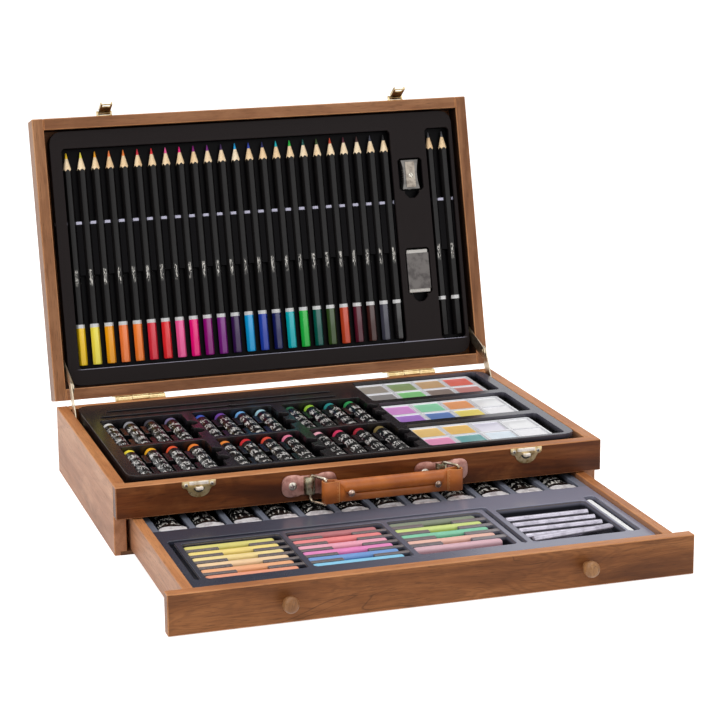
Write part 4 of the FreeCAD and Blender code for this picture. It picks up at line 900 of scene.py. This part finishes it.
# Share of the length, width and height against a round tube, and the top's height over the axis in millimetres:
# a folded crimp at the front, then a flattened body that rounds out toward the cap.
TUBE_SECTIONS = (
    (0.0, 1.0, 0.03, 7.0), (0.03, 1.0, 0.07, 7.3), (0.055, 1.0, 0.10, 7.5), (0.06, 0.98, 0.07, 7.35),
    (0.12, 0.98, 0.22, 8.2), (0.17, 0.96, 0.34, 8.6), (0.24, 0.95, 0.46, 8.7), (0.33, 0.92, 0.60, 8.7),
    (0.46, 0.90, 0.76, 8.6), (0.62, 0.87, 0.88, 8.4), (0.80, 0.83, 0.95, 8.3), (0.93, 0.80, 0.97, 8.2),
    (0.96, 0.72, 0.90, 7.7), (0.985, 0.5, 0.58, 4.9), (1.0, 0.44, 0.50, 4.2))
FOIL_BANDS = [1] * 4 + [0] * 8 + [1] * 3
tubes, caps = Piece(), Piece()
for number, (body, cap) in enumerate(zip(solids("tube_bodies"), solids("tube_caps"))):
    low, middle = body.low, body.middle
    radius = body.tall / 2 / math.cos(math.radians(22.5))       # the CAD's tubes are drawn with eight sides
    half_width = body.wide / 2 * 1.05
    rng = random.Random(number + 3)
    lean = rng.uniform(-0.12, 0.12)
    squash = rng.uniform(0.82, 0.97)
    rings = []
    for share, wide, tall, top in TUBE_SECTIONS:
        power = 1.0 + 0.55 * (1 - min(1.0, share * 3))
        top *= MM
        if share > 0.2:
            top -= (1.0 - squash) * 3 * MM
        points = []
        for i in range(TUBE_POINTS):
            a = math.radians(-90 + 360 * i / TUBE_POINTS)
            u = signed_power(math.cos(a), 1 / power) * half_width * wide
            v = signed_power(math.sin(a), power) * radius * tall
            if 0.05 < share < 0.95:
                dent = math.sin(3 * a + number * 1.7 + share * 9) * 0.30 + math.sin(7 * a + number + share * 17) * 0.16
                dent += rng.uniform(-0.16, 0.16)
                v += dent * MM * (1.3 - share) * min(1.0, tall * 3)
                u += dent * 0.5 * MM * (1.3 - share)
            v = min(v, radius * tall) + top - radius * tall
            v = max(v, low.z - middle.z + 0.05 * MM)
            points.append(Vector((middle.x, low.y, middle.z))
                          + Vector((u + lean * v, share * (body.deep + CRIMP_REACH) - CRIMP_REACH, v)))
        rings.append((share * body.deep, points))
    tubes.loft(rings, FOIL_BANDS, WHITE, number)
    rings = []
    for d, share in ((0.0, 1.0), (0.3 * MM, 1.06), (cap.deep - 1.0 * MM, 0.98), (cap.deep - 0.2 * MM, 0.92),
                     (cap.deep, 0.8)):
        foot = Vector((middle.x, cap.low.y, middle.z)) + Y_AXIS * d
        ridges = circle(foot, X_AXIS, Z_AXIS, cap.wide / 2 * share, 32)
        rings.append((d, [foot + (p - foot) * (0.95 if i % 2 else 1.0) for i, p in enumerate(ridges)]))
    caps.loft(rings, 0, WHITE, number)
tubes.make("tube_bodies", [LABEL, FOIL], angle=50.0)
caps.make("tube_caps", [CAP], angle=20.0)

# ---------------------------------------------------------------- plain metalwork
for nodes, material, width in (
        (("hinge_leaves_case", "hinge_leaves_lid"), BRASS, 0.2), (("latch_brackets",), CATCH, 0.15),
        (("latch_hasp_left", "latch_hasp_right"), CATCH, 0.2),
        (("stay_lower_left", "stay_lower_right", "stay_upper_left", "stay_upper_right"), STAY, 0.15),
        (("hinge_pins",), STEEL, 0.1), (("stay_case_pivots", "stay_lid_pivots"), NICKEL, 0.12),
        (("sharpener_blade",), BLADE, 0.08)):
    for node in nodes:
        dressed(node, [material], width)

# ---------------------------------------------------------------- handle plates
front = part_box("front_rail")[0].y
PLATE_SHEET = 1.2 * MM
LOBE = 8.5 * MM             # radius of a plate's round ends
SQUARED = 0.72              # power that squares the ends a little
SWEEP = 180 - math.degrees(math.asin(0.86 ** (1 / SQUARED)))    # half an end's arc, down to the plate's waist
SADDLE_WIDE = 4.6 * MM      # half the width of the saddle, which is a bent strip open at its top and bottom
SADDLE_TALL = 6.6 * MM      # half its height
plates, case_screws = Piece(), Piece()
for plate in solids("handle_plates"):
    middle = plate.middle
    offset = plate.wide / 2 - LOBE
    outline = []
    for side, first in ((1, -SWEEP), (-1, 180 - SWEEP)):
        for step in range(25):
            a = math.radians(first + 2 * SWEEP * step / 24)
            outline.append(Vector((middle.x + side * offset + LOBE * signed_power(math.cos(a), SQUARED), front,
                                   middle.z + LOBE * signed_power(math.sin(a), SQUARED))))
    plates.slab(outline, OUT * PLATE_SHEET, 0.3 * MM)
    reach = front - plate.low.y
    over = [(1.0, 0.9 * MM), (0.90, 0.42 * reach), (0.72, 0.80 * reach), (0.50, 0.96 * reach), (0.28, reach)]
    under = [(0.62, 0.9 * MM), (0.56, 0.42 * reach), (0.44, 0.68 * reach), (0.26, 0.79 * reach)]
    rim = over + [(-u, v) for u, v in reversed(over)] + [(-u, v) for u, v in under] + list(reversed(under))
    plates.slab([Vector((middle.x + u * SADDLE_WIDE, front - v, middle.z - SADDLE_TALL)) for u, v in rim],
                Vector((0, 0, 2 * SADDLE_TALL)), 0.2 * MM, 1)
    for side in (-1, 1):
        x = middle.x + side * (SADDLE_WIDE + 1.0 * MM)
        plates.block((x - 0.5 * MM, front - PLATE_SHEET - 0.35 * MM, middle.z - SADDLE_TALL + 0.6 * MM),
                     (x + 0.5 * MM, front - PLATE_SHEET, middle.z + SADDLE_TALL - 0.6 * MM), 0.15 * MM)
        case_screws.screw(Vector((middle.x + side * offset, front - PLATE_SHEET, middle.z)), OUT, 3.2, 1.2,
                          40 + 25 * side)
plates.make("handle_plates", [PLATE, SADDLE])

# ---------------------------------------------------------------- catch plates
CATCH_SHEET = 1.0 * MM
catches = Piece()
for plate in solids("catch_plates"):
    middle, top = plate.middle, plate.high.z
    half_x = plate.wide / 2
    face = front - CATCH_SHEET
    shoulder = [(half_x * u, top - plate.tall * v) for u, v in ((1.0, 0.0), (1.0, 0.30), (0.90, 0.40), (0.74, 0.44))]
    bowl = [(0.66 * half_x * math.cos(a), top - 0.5 * plate.tall + 0.5 * plate.tall * math.sin(a))
            for a in (math.radians(190 + 160 * step / 12) for step in range(13))]
    outline = [(-u, z) for u, z in shoulder] + bowl + shoulder[::-1]
    catches.slab([Vector((middle.x + u, front, z)) for u, z in outline], OUT * CATCH_SHEET, 0.3 * MM)
    # A tongue folded down from the edge and the raised hook, both brighter than the plate as a painted highlight, over
    # dark sheets painted as the shade of the slot round the hook.
    catches.block((middle.x - 7.2 * MM, face - 0.05 * MM, top - 2.9 * MM),
                  (middle.x + 7.2 * MM, face + 0.3 * MM, top - 0.3 * MM), 0.05 * MM, 2)
    catches.block((middle.x - 2.8 * MM, plate.low.y, top - 6.5 * MM), (middle.x + 2.8 * MM, face, top - 4.2 * MM),
                  0.4 * MM, 2)
    # Painted shade: thin dark sheets in an arc round the hook.
    for step in range(10):
        slot = [Vector((middle.x + r * MM * math.cos(a), face + 0.1 * MM, top - 4.4 * MM + r * MM * math.sin(a)))
                for a in (math.radians(195 + 15 * step), math.radians(210 + 15 * step)) for r in (3.2, 4.4)]
        catches.slab([slot[0], slot[1], slot[3], slot[2]], OUT * (0.15 * MM), 0.0, 3)
    for side in (-1, 1):
        case_screws.screw(Vector((middle.x + side * 0.76 * half_x, face, top - 0.22 * plate.tall)), OUT, 1.5, 0.6,
                          20 * side)
catches.make("catch_plates", [CATCH, CATCH, TONGUE_SHINE, SLOT_SHADOW])

# ---------------------------------------------------------------- small screws on hinges and brackets
lid_screws = Piece()
leaf_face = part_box("case_back")[1].y + 1.0 * MM
for node, heads, matrix in (("hinge_leaves_case", case_screws, AS_IS), ("hinge_leaves_lid", lid_screws, CLOSE)):
    for leaf in solids(node, matrix):
        z = leaf.low.z + 4.5 * MM if heads is case_screws else leaf.high.z - 4.5 * MM
        for place in (-0.36, 0.36):
            heads.screw(Vector((leaf.middle.x + place * leaf.wide, leaf_face, z)), Y_AXIS, 2.2, 0.7, 15 + 80 * place)
for bracket in solids("latch_brackets", CLOSE):
    lid_screws.screw(Vector((bracket.middle.x, bracket.high.y - 1.0 * MM, bracket.high.z - 2.6 * MM)), OUT, 1.6, 0.6,
                     30)
lid_screws.make("lid_screws", [STEEL, SLOT_SHADOW], OPEN, body="lid", slot="steel_screw")
case_screws.make("case_screws", [STEEL, SLOT_SHADOW], body="case", slot="steel_screw")

# ---------------------------------------------------------------- drawer knobs
# Shares of the knob's length and radius, from the drawer's front outward.
KNOB_PROFILE = ((0.0, 0.52), (0.10, 0.50), (0.20, 0.48), (0.26, 0.52), (0.32, 0.66), (0.40, 0.84), (0.50, 0.96),
                (0.60, 1.0), (0.70, 0.99), (0.80, 0.93), (0.89, 0.80), (0.95, 0.62), (0.985, 0.40), (1.0, 0.14))
knobs = Piece()
for knob in solids("drawer_knobs"):
    knobs.turned(Vector((knob.middle.x, knob.high.y, knob.middle.z)), OUT,
                 [(a * knob.deep, b * (knob.wide / 2)) for a, b in KNOB_PROFILE], 40)
knobs.make("drawer_knobs", [KNOB_WOOD], angle=60.0, grain=ALONG_Z)

# ---------------------------------------------------------------- handle rings
left_axis, right_axis, strap_axis = [Vector(JOINTS[name]["pos_m"])
                                     for name in ("ring_left_swing", "ring_right_swing", "handle_pivot")]
reach = Vector((strap_axis.x - left_axis.x, strap_axis.y - left_axis.y, 0))
WIRE = 1.1 * MM             # radius of a ring's wire
NEAR, FAR = 1.6 * MM, 3.2 * MM      # radii of a ring's bends by the strap and by the plate
for node, axis in (("handle_ring_left", left_axis), ("handle_ring_right", right_axis)):
    low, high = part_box(node)
    along = reach.normalized()
    normal = along.cross(Z_AXIS)
    z0, z1 = low.z + WIRE, high.z - WIRE
    flat = arcs([(reach.length - NEAR, z0 + NEAR, NEAR), (reach.length - NEAR, z1 - NEAR, NEAR), (FAR, z1 - FAR, FAR),
                 (FAR, z0 + FAR, FAR)], 6)
    rings = []
    for i, (u, z) in enumerate(flat):
        last, following = flat[i - 1], flat[(i + 1) % len(flat)]
        way = (Vector((u - last[0], z - last[1])).normalized()
               + Vector((following[0] - u, following[1] - z)).normalized()).normalized()
        outward = along * way.y - Z_AXIS * way.x
        middle = Vector((axis.x, axis.y, 0)) + along * u + Z_AXIS * z
        rings.append((i * MM, [middle + outward * (WIRE * math.cos(b)) + normal * (WIRE * math.sin(b))
                               for b in (2 * math.pi * k / 14 for k in range(14))]))
    wire = Piece()
    wire.loft(rings, joined=True)
    wire.make(node, [NICKEL], angle=60.0)

# ---------------------------------------------------------------- strap
low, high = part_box("handle_strap")
right_x = right_axis.x + reach.x
mirror = strap_axis.x + right_x
THICK = 2.4 * MM            # half the flap's thickness
ROLL = 5.2 * MM             # radius of the roll at the strap's top
WALL = 1.3 * MM             # of the folded loops
FOLD = 2.4 * MM             # radius of a loop along the strap, to the middle of its wall
BULGE = 3.8 * MM            # radius of a loop across the strap
SEAM = 9.6 * MM             # from a loop's middle to its sewn edge
SWELL = 5.0 * MM            # length over which the flap swells into the roll
STEPS = (0, 1.5, 3, 4, 5, 6, 7, 8, 9, 10, 11, 12, 13, 14, 15, 16.5, 18, 20, 23)
rivets_at = min(solid.low.x for solid in solids("handle_rivets")) + 2.5 * MM
stations = [strap_axis.x + 6.5 * MM + step * MM for step in STEPS]
stations += [stations[-1] + (mirror / 2 - stations[-1]) * share for share in (0.35, 0.7)]
stations += [mirror - x for x in reversed(stations)]
strap = Piece()
rings = []
for x in stations:
    inside = min(x, mirror - x)
    past_seam = inside - (strap_axis.x + SEAM - 0.5 * MM)
    swell = ease(past_seam / SWELL)
    slit = ease((inside - rivets_at - 1.0 * MM) / (4 * MM))
    radius = THICK + (ROLL - THICK) * swell
    roll_z = high.z - radius
    half = THICK + 2.3 * MM * ease(past_seam / (4 * MM)) * (1 - ease((inside - rivets_at + 7 * MM) / (6 * MM)))
    half = min(half, radius)
    neck = half * 0.985 - 1.2 * MM * slit
    groove = math.asin(neck / radius)
    groove_z = roll_z - radius * math.cos(groove)
    side = [(-1.7 * MM, low.z + 0.05 * MM), (-2.2 * MM, low.z + 0.5 * MM), (-THICK, low.z + 1.1 * MM),
            (-0.3 * THICK - 0.7 * half, (low.z + groove_z) / 2), (-half, groove_z - 1.0 * MM),
            (-half + 0.3 * slit * MM, groove_z - 0.45 * MM), (-neck, groove_z - 0.1 * MM)]
    roll = [(-radius * math.sin(a) - 0.4 * MM * swell, roll_z - radius * math.cos(a))
            for a in (groove + (2 * math.pi - 2 * groove) * step / 24 for step in range(1, 24))]
    points = [(0.0, low.z)] + side + roll + [(-y, z) for y, z in reversed(side)]
    rings.append((x - stations[0], [Vector((x, strap_axis.y + y, z)) for y, z in points]))
strap.loft(rings)
# The folded ends: a strip bent round the ring's bar, its inner side hollow, sewn down at its edge.
half_path = [(SEAM - step * MM, FOLD + (BULGE - FOLD) * ease((step - 1) / 7))
             for step in (0, 0.4, 1.5, 3, 4.5, 6, 7.5, 8.5)]
path = half_path + [(-FOLD * math.sin(a), BULGE * math.cos(a)) for a in (math.pi * step / 18 for step in range(19))]
path += [(u, -v) for u, v in reversed(half_path)]
top = high.z - 0.15 * MM
# Shares of half the wall, and heights: the strip's section, and that of its light cut rim.
STRIP = ((-1, low.z + 0.35 * MM), (-0.6, low.z), (0.6, low.z), (1, low.z + 0.35 * MM), (1, top - 0.25 * MM),
         (0.7, top), (-0.7, top), (-1, top - 0.25 * MM))
RIM = ((-0.6, top - 0.5 * MM), (0.6, top - 0.5 * MM), (0.6, high.z), (-0.6, high.z))
for x, way in ((strap_axis.x, 1), (right_x, -1)):
    for section, kind in ((STRIP, 0), (RIM, 1)):
        rings = []
        for i, (u, v) in enumerate(path):
            before = Vector(path[max(i - 1, 0)])
            after = Vector(path[min(i + 1, len(path) - 1)])
            along = (after - before).normalized()
            half = WALL / 2 * (0.55 if i in (0, len(path) - 1) else 1.0)
            places = [(Vector((u, v)) + Vector((along.y, -along.x)) * (s * half), z) for s, z in section]
            rings.append((i * MM, [Vector((x + way * place.x, strap_axis.y + place.y, z)) for place, z in places]))
        strap.loft(rings, kind)
    edge_x = x + way * (SEAM - 0.2 * MM)
    for end in (1, -1):
        edge_y = sorted(strap_axis.y + end * (FOLD + WALL / 2 + inset * MM) for inset in (0.02, -0.58))
        strap.block((edge_x - 0.35 * MM, edge_y[0], low.z + 0.4 * MM),
                    (edge_x + 0.35 * MM, edge_y[1], high.z - 0.4 * MM), 0.12 * MM, 1)
strap.make("handle_strap", [LEATHER, LEATHER_EDGE], angle=50.0)
stitches = Piece()
for x in (strap_axis.x + 8.2 * MM, right_x - 8.2 * MM):
    for row in range(5):
        start = Vector((x, strap_axis.y - FOLD - WALL / 2 - 0.08 * MM, low.z + (2.0 + 2.9 * row) * MM))
        stitches.turned(start, Z_AXIS, [(a * MM, b * MM) for a, b in ((0, 0.1), (0.2, 0.2), (1.7, 0.2), (1.9, 0.1))], 8)
stitches.make("strap_stitches", [LEATHER_EDGE], body="handle", slot=SLOT_OF["handle_strap"])

rivets = Piece()
for rivet in solids("handle_rivets"):
    x, z = rivet.middle.x, rivet.middle.z
    profile = ((0.0, 0.9), (0.5, 1.0), (0.9, 0.98), (1.25, 0.88), (1.6, 0.70), (1.9, 0.45), (2.08, 0.2))
    rivets.turned(Vector((x, rivet.low.y + 2.2 * MM, z)), OUT, [(a * MM, b * 2.75 * MM) for a, b in profile], 24)
    rivets.turned(Vector((x, strap_axis.y + THICK - 0.1 * MM, z)), Y_AXIS,
                  [(0, 2.2 * MM), (0.3 * MM, 2.2 * MM), (0.55 * MM, 1.6 * MM)], 20)
rivets.make("handle_rivets", [RIVET], angle=60.0)

# ---------------------------------------------------------------- sharpener and eraser
dressed("sharpener_body", [SILVER], 0.35, 3)
blade = solids("sharpener_blade", CLOSE)[0]
body = solids("sharpener_body", CLOSE)[0]
tool = Piece()
tool.screw(Vector((blade.middle.x + 0.6 * MM, blade.middle.y + 1.0 * MM, blade.low.z)), DOWN, 2.3, 0.9, 35, False)
for index in range(7):
    y = body.low.y + body.deep * (0.26 + 0.08 * index)
    for side in (-1, 1):
        x = blade.middle.x + side * (body.wide / 2 - 1.75 * MM)
        tool.block((x - 0.35 * MM, y - 0.3 * MM, body.low.z + 1.6 * MM),
                   (x + 0.35 * MM, y + 0.3 * MM, body.high.z - 1.0 * MM), 0.1 * MM)
tool.make("sharpener_screw", [STEEL, SLOT_SHADOW], OPEN, body="lid", slot="steel_screw")
dressed("eraser", [RUBBER], 0.8, 3)
dressed("eraser_sleeve", [SLEEVE], 0.15)

# ---------------------------------------------------------------- stage, light and camera
FLOOR_HALF = 6.0            # metres
FLOOR_GLOW = 0.72           # brings the floor to white in the picture, with no more light on the object
WORLD_LIGHT = 0.42          # strength of the white world on the object


def make_floor():
    mesh = bpy.data.meshes.new("floor")
    mesh.from_pydata([(x * FLOOR_HALF, y * FLOOR_HALF, 0) for x, y in ((-1, -1), (1, -1), (1, 1), (-1, 1))], [],
                     [(0, 1, 2, 3)])
    s = Shader("floor")
    s.set(Roughness=0.9, Specular_IOR_Level=0.1, Base_Color=grey(0.9), Emission_Color=grey(1.0),
          Emission_Strength=s.times(s.seen(), FLOOR_GLOW))
    mesh.materials.append(s.material)
    linked("floor", mesh)


def area_light(name, place, target, width, height, power):
    data = bpy.data.lights.new(name, "AREA")
    data.shape = "RECTANGLE"
    data.size = width
    data.size_y = height
    data.energy = power
    lamp = linked(name, data)
    lamp.location = place
    lamp.rotation_euler = (Vector(target) - Vector(place)).to_track_quat("-Z", "Y").to_euler()


def make_world():
    world = bpy.data.worlds.new("studio")
    bpy.context.scene.world = world
    world.use_nodes = True
    s = Nodes(world.node_tree)
    background = s.nodes["Background"]
    background.inputs["Color"].default_value = grey(1.0)
    strength = s.node("MapRange", {"Value": s.seen(), "To Min": WORLD_LIGHT, "To Max": 1.0})
    s.plug(background.inputs["Strength"], strength.outputs["Result"])


# The camera's angles and frame, and the point on the case's front face that it looks at.
AZIMUTH = math.radians(-16.242)
ELEVATION = math.radians(13.445)
TILT = math.radians(-0.862)
DISTANCE = 1.57712
TARGET = Vector((-0.05393, front, 0.16042))
FOCAL_PIXELS = 2173.59
FRAME_PIXELS = 720
CENTRE_PIXEL = (294.13, 330.80)
SENSOR = 36.0


def make_camera():
    back = Vector((math.sin(AZIMUTH) * math.cos(ELEVATION), -math.cos(AZIMUTH) * math.cos(ELEVATION),
                   math.sin(ELEVATION)))
    right = (-back).cross(Z_AXIS).normalized()
    up = right.cross(-back)
    data = bpy.data.cameras.new("camera")
    data.sensor_width = SENSOR
    data.lens = FOCAL_PIXELS / FRAME_PIXELS * SENSOR
    data.shift_x = 0.5 - CENTRE_PIXEL[0] / FRAME_PIXELS
    data.shift_y = CENTRE_PIXEL[1] / FRAME_PIXELS - 0.5
    data.clip_start = 0.05
    camera = linked("camera", data)
    place = Matrix((right * math.cos(TILT) + up * math.sin(TILT), up * math.cos(TILT) - right * math.sin(TILT),
                    back)).transposed().to_4x4()
    place.translation = TARGET + back * DISTANCE
    camera.matrix_world = place
    bpy.context.scene.camera = camera


make_floor()
make_world()
make_camera()
area_light("key", (-1.3, -0.9, 1.7), (0.0, -0.05, 0.1), 1.6, 1.6, 20.0)
area_light("top", (0.1, 0.3, 2.2), (0.0, 0.0, 0.1), 2.2, 1.6, 18.0)
area_light("front", (0.9, -2.0, 0.9), (0.0, 0.0, 0.1), 1.6, 1.2, 8.0)
bpy.context.scene.view_settings.view_transform = "Standard"
